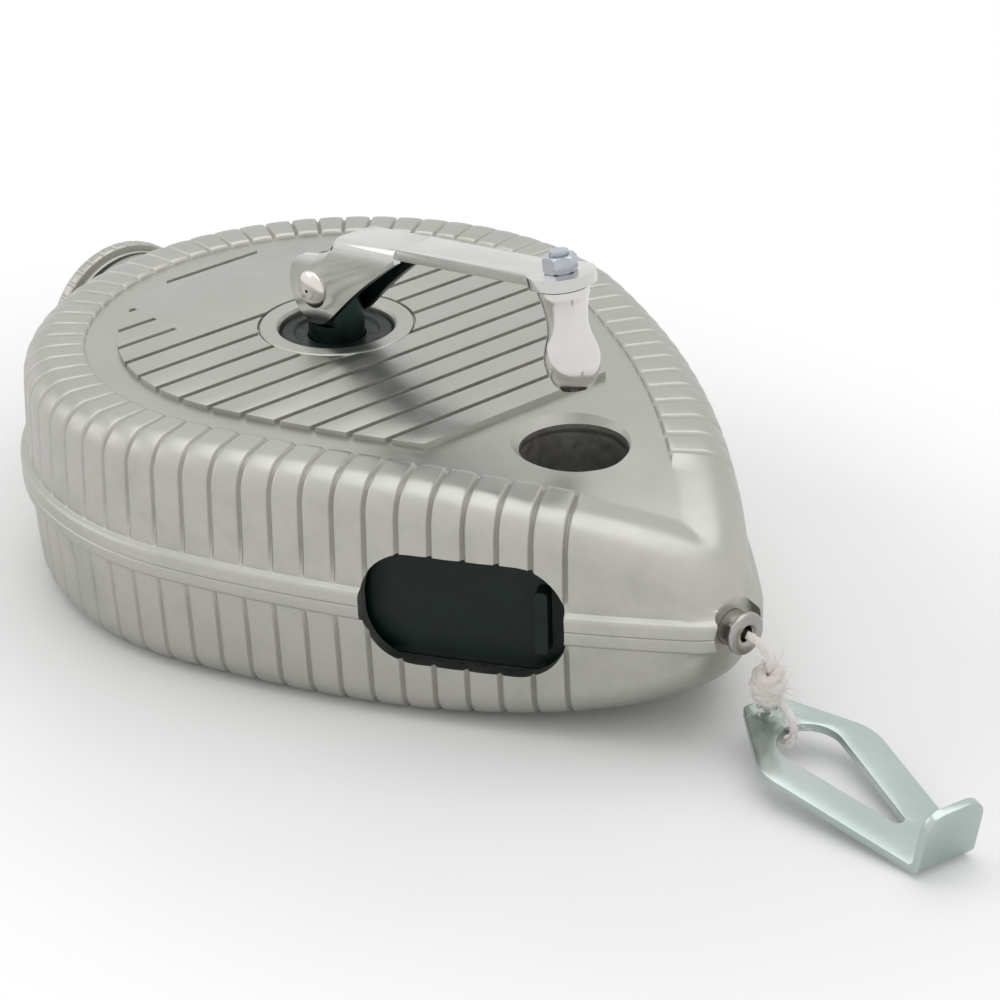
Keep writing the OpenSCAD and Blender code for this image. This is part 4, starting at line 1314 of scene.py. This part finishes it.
dark_plastic = moulded("dark_plastic", [(0.002, 0.008, 0.006), (0.006, 0.015, 0.011)], (0.3, 0.48))
shader_of(dark_plastic).inputs["Specular IOR Level"].default_value = 0.25
seal_rubber = moulded("seal_rubber", [(0.012, 0.013, 0.012), (0.022, 0.022, 0.021)], (0.55, 0.75))
felt = moulded("felt", [(0.42, 0.38, 0.31), (0.58, 0.54, 0.46)], (0.9, 1.0), 2600, 0.15)
cotton = moulded("cotton", [(0.80, 0.74, 0.70), (0.90, 0.87, 0.84)], (0.85, 1.0), 4200, 0.06)
COTTON = {
    "Sheen Weight": 0.35, "Sheen Roughness": 0.5, "Subsurface Weight": 0.12, "Subsurface Scale": 0.6 * MM,
}
for socket, value in COTTON.items():
    shader_of(cotton).inputs[socket].default_value = value

# %% Give every piece and every visible node its finish
FINISHES = {
    cast: [top_case, bottom_case, panel, base_panel, hub_ring, hang_tube, neck, plug],
    bright_zinc: [crank], blue_zinc: [hook], nut_zinc: [nut], turned_metal: [knob], rivet_metal: [rivet],
    eyelet_steel: [eyelet], dark_plastic: [bush, door], felt: [wiper],
    cotton: [string, knot, fibres, winding, line_inside],
}
NODE_FINISHES = {
    plain_steel: ["case_screws", "door_rails", "drive_pin", "lower_washer", "upper_washer"],
    dark_zinc_and_painted_shade: ["spindle"], bright_zinc: ["knob_washer"], nut_zinc: ["knob_screw"],
    dark_plastic: ["spool_core", "upper_flange", "lower_flange"], seal_rubber: ["plug_seal"],
}
for material, pieces in FINISHES.items():
    for piece in pieces:
        piece.data.materials.clear()
        piece.data.materials.append(material)
# Painted shade: the downward faces and the channel's inside take the dark zinc
crank.data.materials.append(dark_zinc_and_painted_shade)
for face, dark in zip(crank.data.polygons, painted_shade_faces):
    face.material_index = int(dark)
for material, names in NODE_FINISHES.items():
    for name in names:
        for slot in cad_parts[name].material_slots:
            slot.material = material
print(len(FINISHES), "finishes on", sum(len(p) for p in FINISHES.values()), "pieces")

# %% [markdown]
# ## Floor, light and background
# The photograph has a white background with a soft shadow under the near side. The floor is plain
# pale paper. Near the object it is lit like anything else, so the shadow stays. Further out it
# turns to plain white for what the camera, a reflection or a clear piece sees, and the world is
# that same white to those rays. All other rays find a plain level. One large soft lamp hangs
# overhead and a weaker one stands to the left, both low enough for pale metal to keep its colour.

# %% Floor
WHITE = (1, 1, 1, 1)
PLAIN_LEVEL = (0.65, 0.65, 0.65, 1)
SHADOW_EDGE, WHITE_EDGE = 0.055, 0.105
nothing_selected()
bpy.ops.mesh.primitive_grid_add(size=6, x_subdivisions=8, y_subdivisions=8)
floor = named("floor")
paper = new_finish("floor_paper", Roughness=0.9)
paper_tone = shades(paper, noise(paper, 30, 3), (0.94, 0.94, 0.94), (0.96, 0.96, 0.96))
link(paper, paper_tone, shader_of(paper).inputs["Base Color"])


def shown_rays(owner):
    """1 for what the camera, a reflection or a clear piece sees, 0 for the light itself."""
    path = node(owner, "LightPath")
    direct = node(owner, "Math", operation="MAXIMUM")
    shown = node(owner, "Math", operation="MAXIMUM")
    link(owner, path.outputs["Is Camera Ray"], direct.inputs[0])
    link(owner, path.outputs["Is Glossy Ray"], direct.inputs[1])
    link(owner, direct.outputs[0], shown.inputs[0])
    link(owner, path.outputs["Is Transmission Ray"], shown.inputs[1])
    return shown.outputs[0]


# Distance from the case, shortened along X because the case is longer than it is wide
round_case = node(paper, "Mapping", Location=(-0.014, 0, 0), Scale=(0.69, 1, 1))
link(paper, node(paper, "TexCoord").outputs["Object"], round_case.inputs["Vector"])
reach = node(paper, "VectorMath", operation="LENGTH")
link(paper, round_case.outputs["Vector"], reach.inputs[0])
far = node(paper, "MapRange", interpolation_type="SMOOTHSTEP", From_Min=SHADOW_EDGE, From_Max=WHITE_EDGE)
link(paper, reach.outputs["Value"], far.inputs["Value"])
whiteness = node(paper, "Math", operation="MULTIPLY")
link(paper, far.outputs["Result"], whiteness.inputs[0])
link(paper, shown_rays(paper), whiteness.inputs[1])
blend = node(paper, "MixShader")
link(paper, whiteness.outputs[0], blend.inputs[0])
link(paper, shader_of(paper).outputs[0], blend.inputs[1])
link(paper, node(paper, "Emission", Color=WHITE, Strength=1).outputs[0], blend.inputs[2])
link(paper, blend.outputs[0], paper.node_tree.get_output_node("ALL").inputs["Surface"])
floor.data.materials.append(paper)
print("floor white from", WHITE_EDGE, "m, lit within", SHADOW_EDGE, "m")

# %% World
world = bpy.data.worlds.new("studio")
bpy.context.scene.world = world
world.use_nodes = True
tone = node(world, "Mix", data_type="RGBA", A=PLAIN_LEVEL, B=WHITE)
link(world, shown_rays(world), tone.inputs["Factor"])
link(world, tone.outputs["Result"], world.node_tree.nodes["Background"].inputs["Color"])
print("world: white to the camera and to reflections, a plain level for the light")


# %% Lamps
LAMP_AIM = Vector((0.02, 0, 0.02))


def soft_lamp(name, place, size, watts):
    nothing_selected()
    bpy.ops.object.light_add(type="AREA", location=place)
    lamp = bpy.context.object
    lamp.name = name
    lamp.data.shape = "RECTANGLE"
    lamp.data.size, lamp.data.size_y = size
    lamp.data.energy = watts
    lamp.rotation_euler = (LAMP_AIM - Vector(place)).to_track_quat("-Z", "Y").to_euler()
    print("lamp", name, watts, "W")


soft_lamp("overhead", (-0.05, 0.15, 1.0), (1.3, 1.1), 3.8)
soft_lamp("left", (-0.7, -0.5, 0.5), (0.5, 0.5), 0.65)
bpy.context.scene.view_settings.view_transform = "Standard"
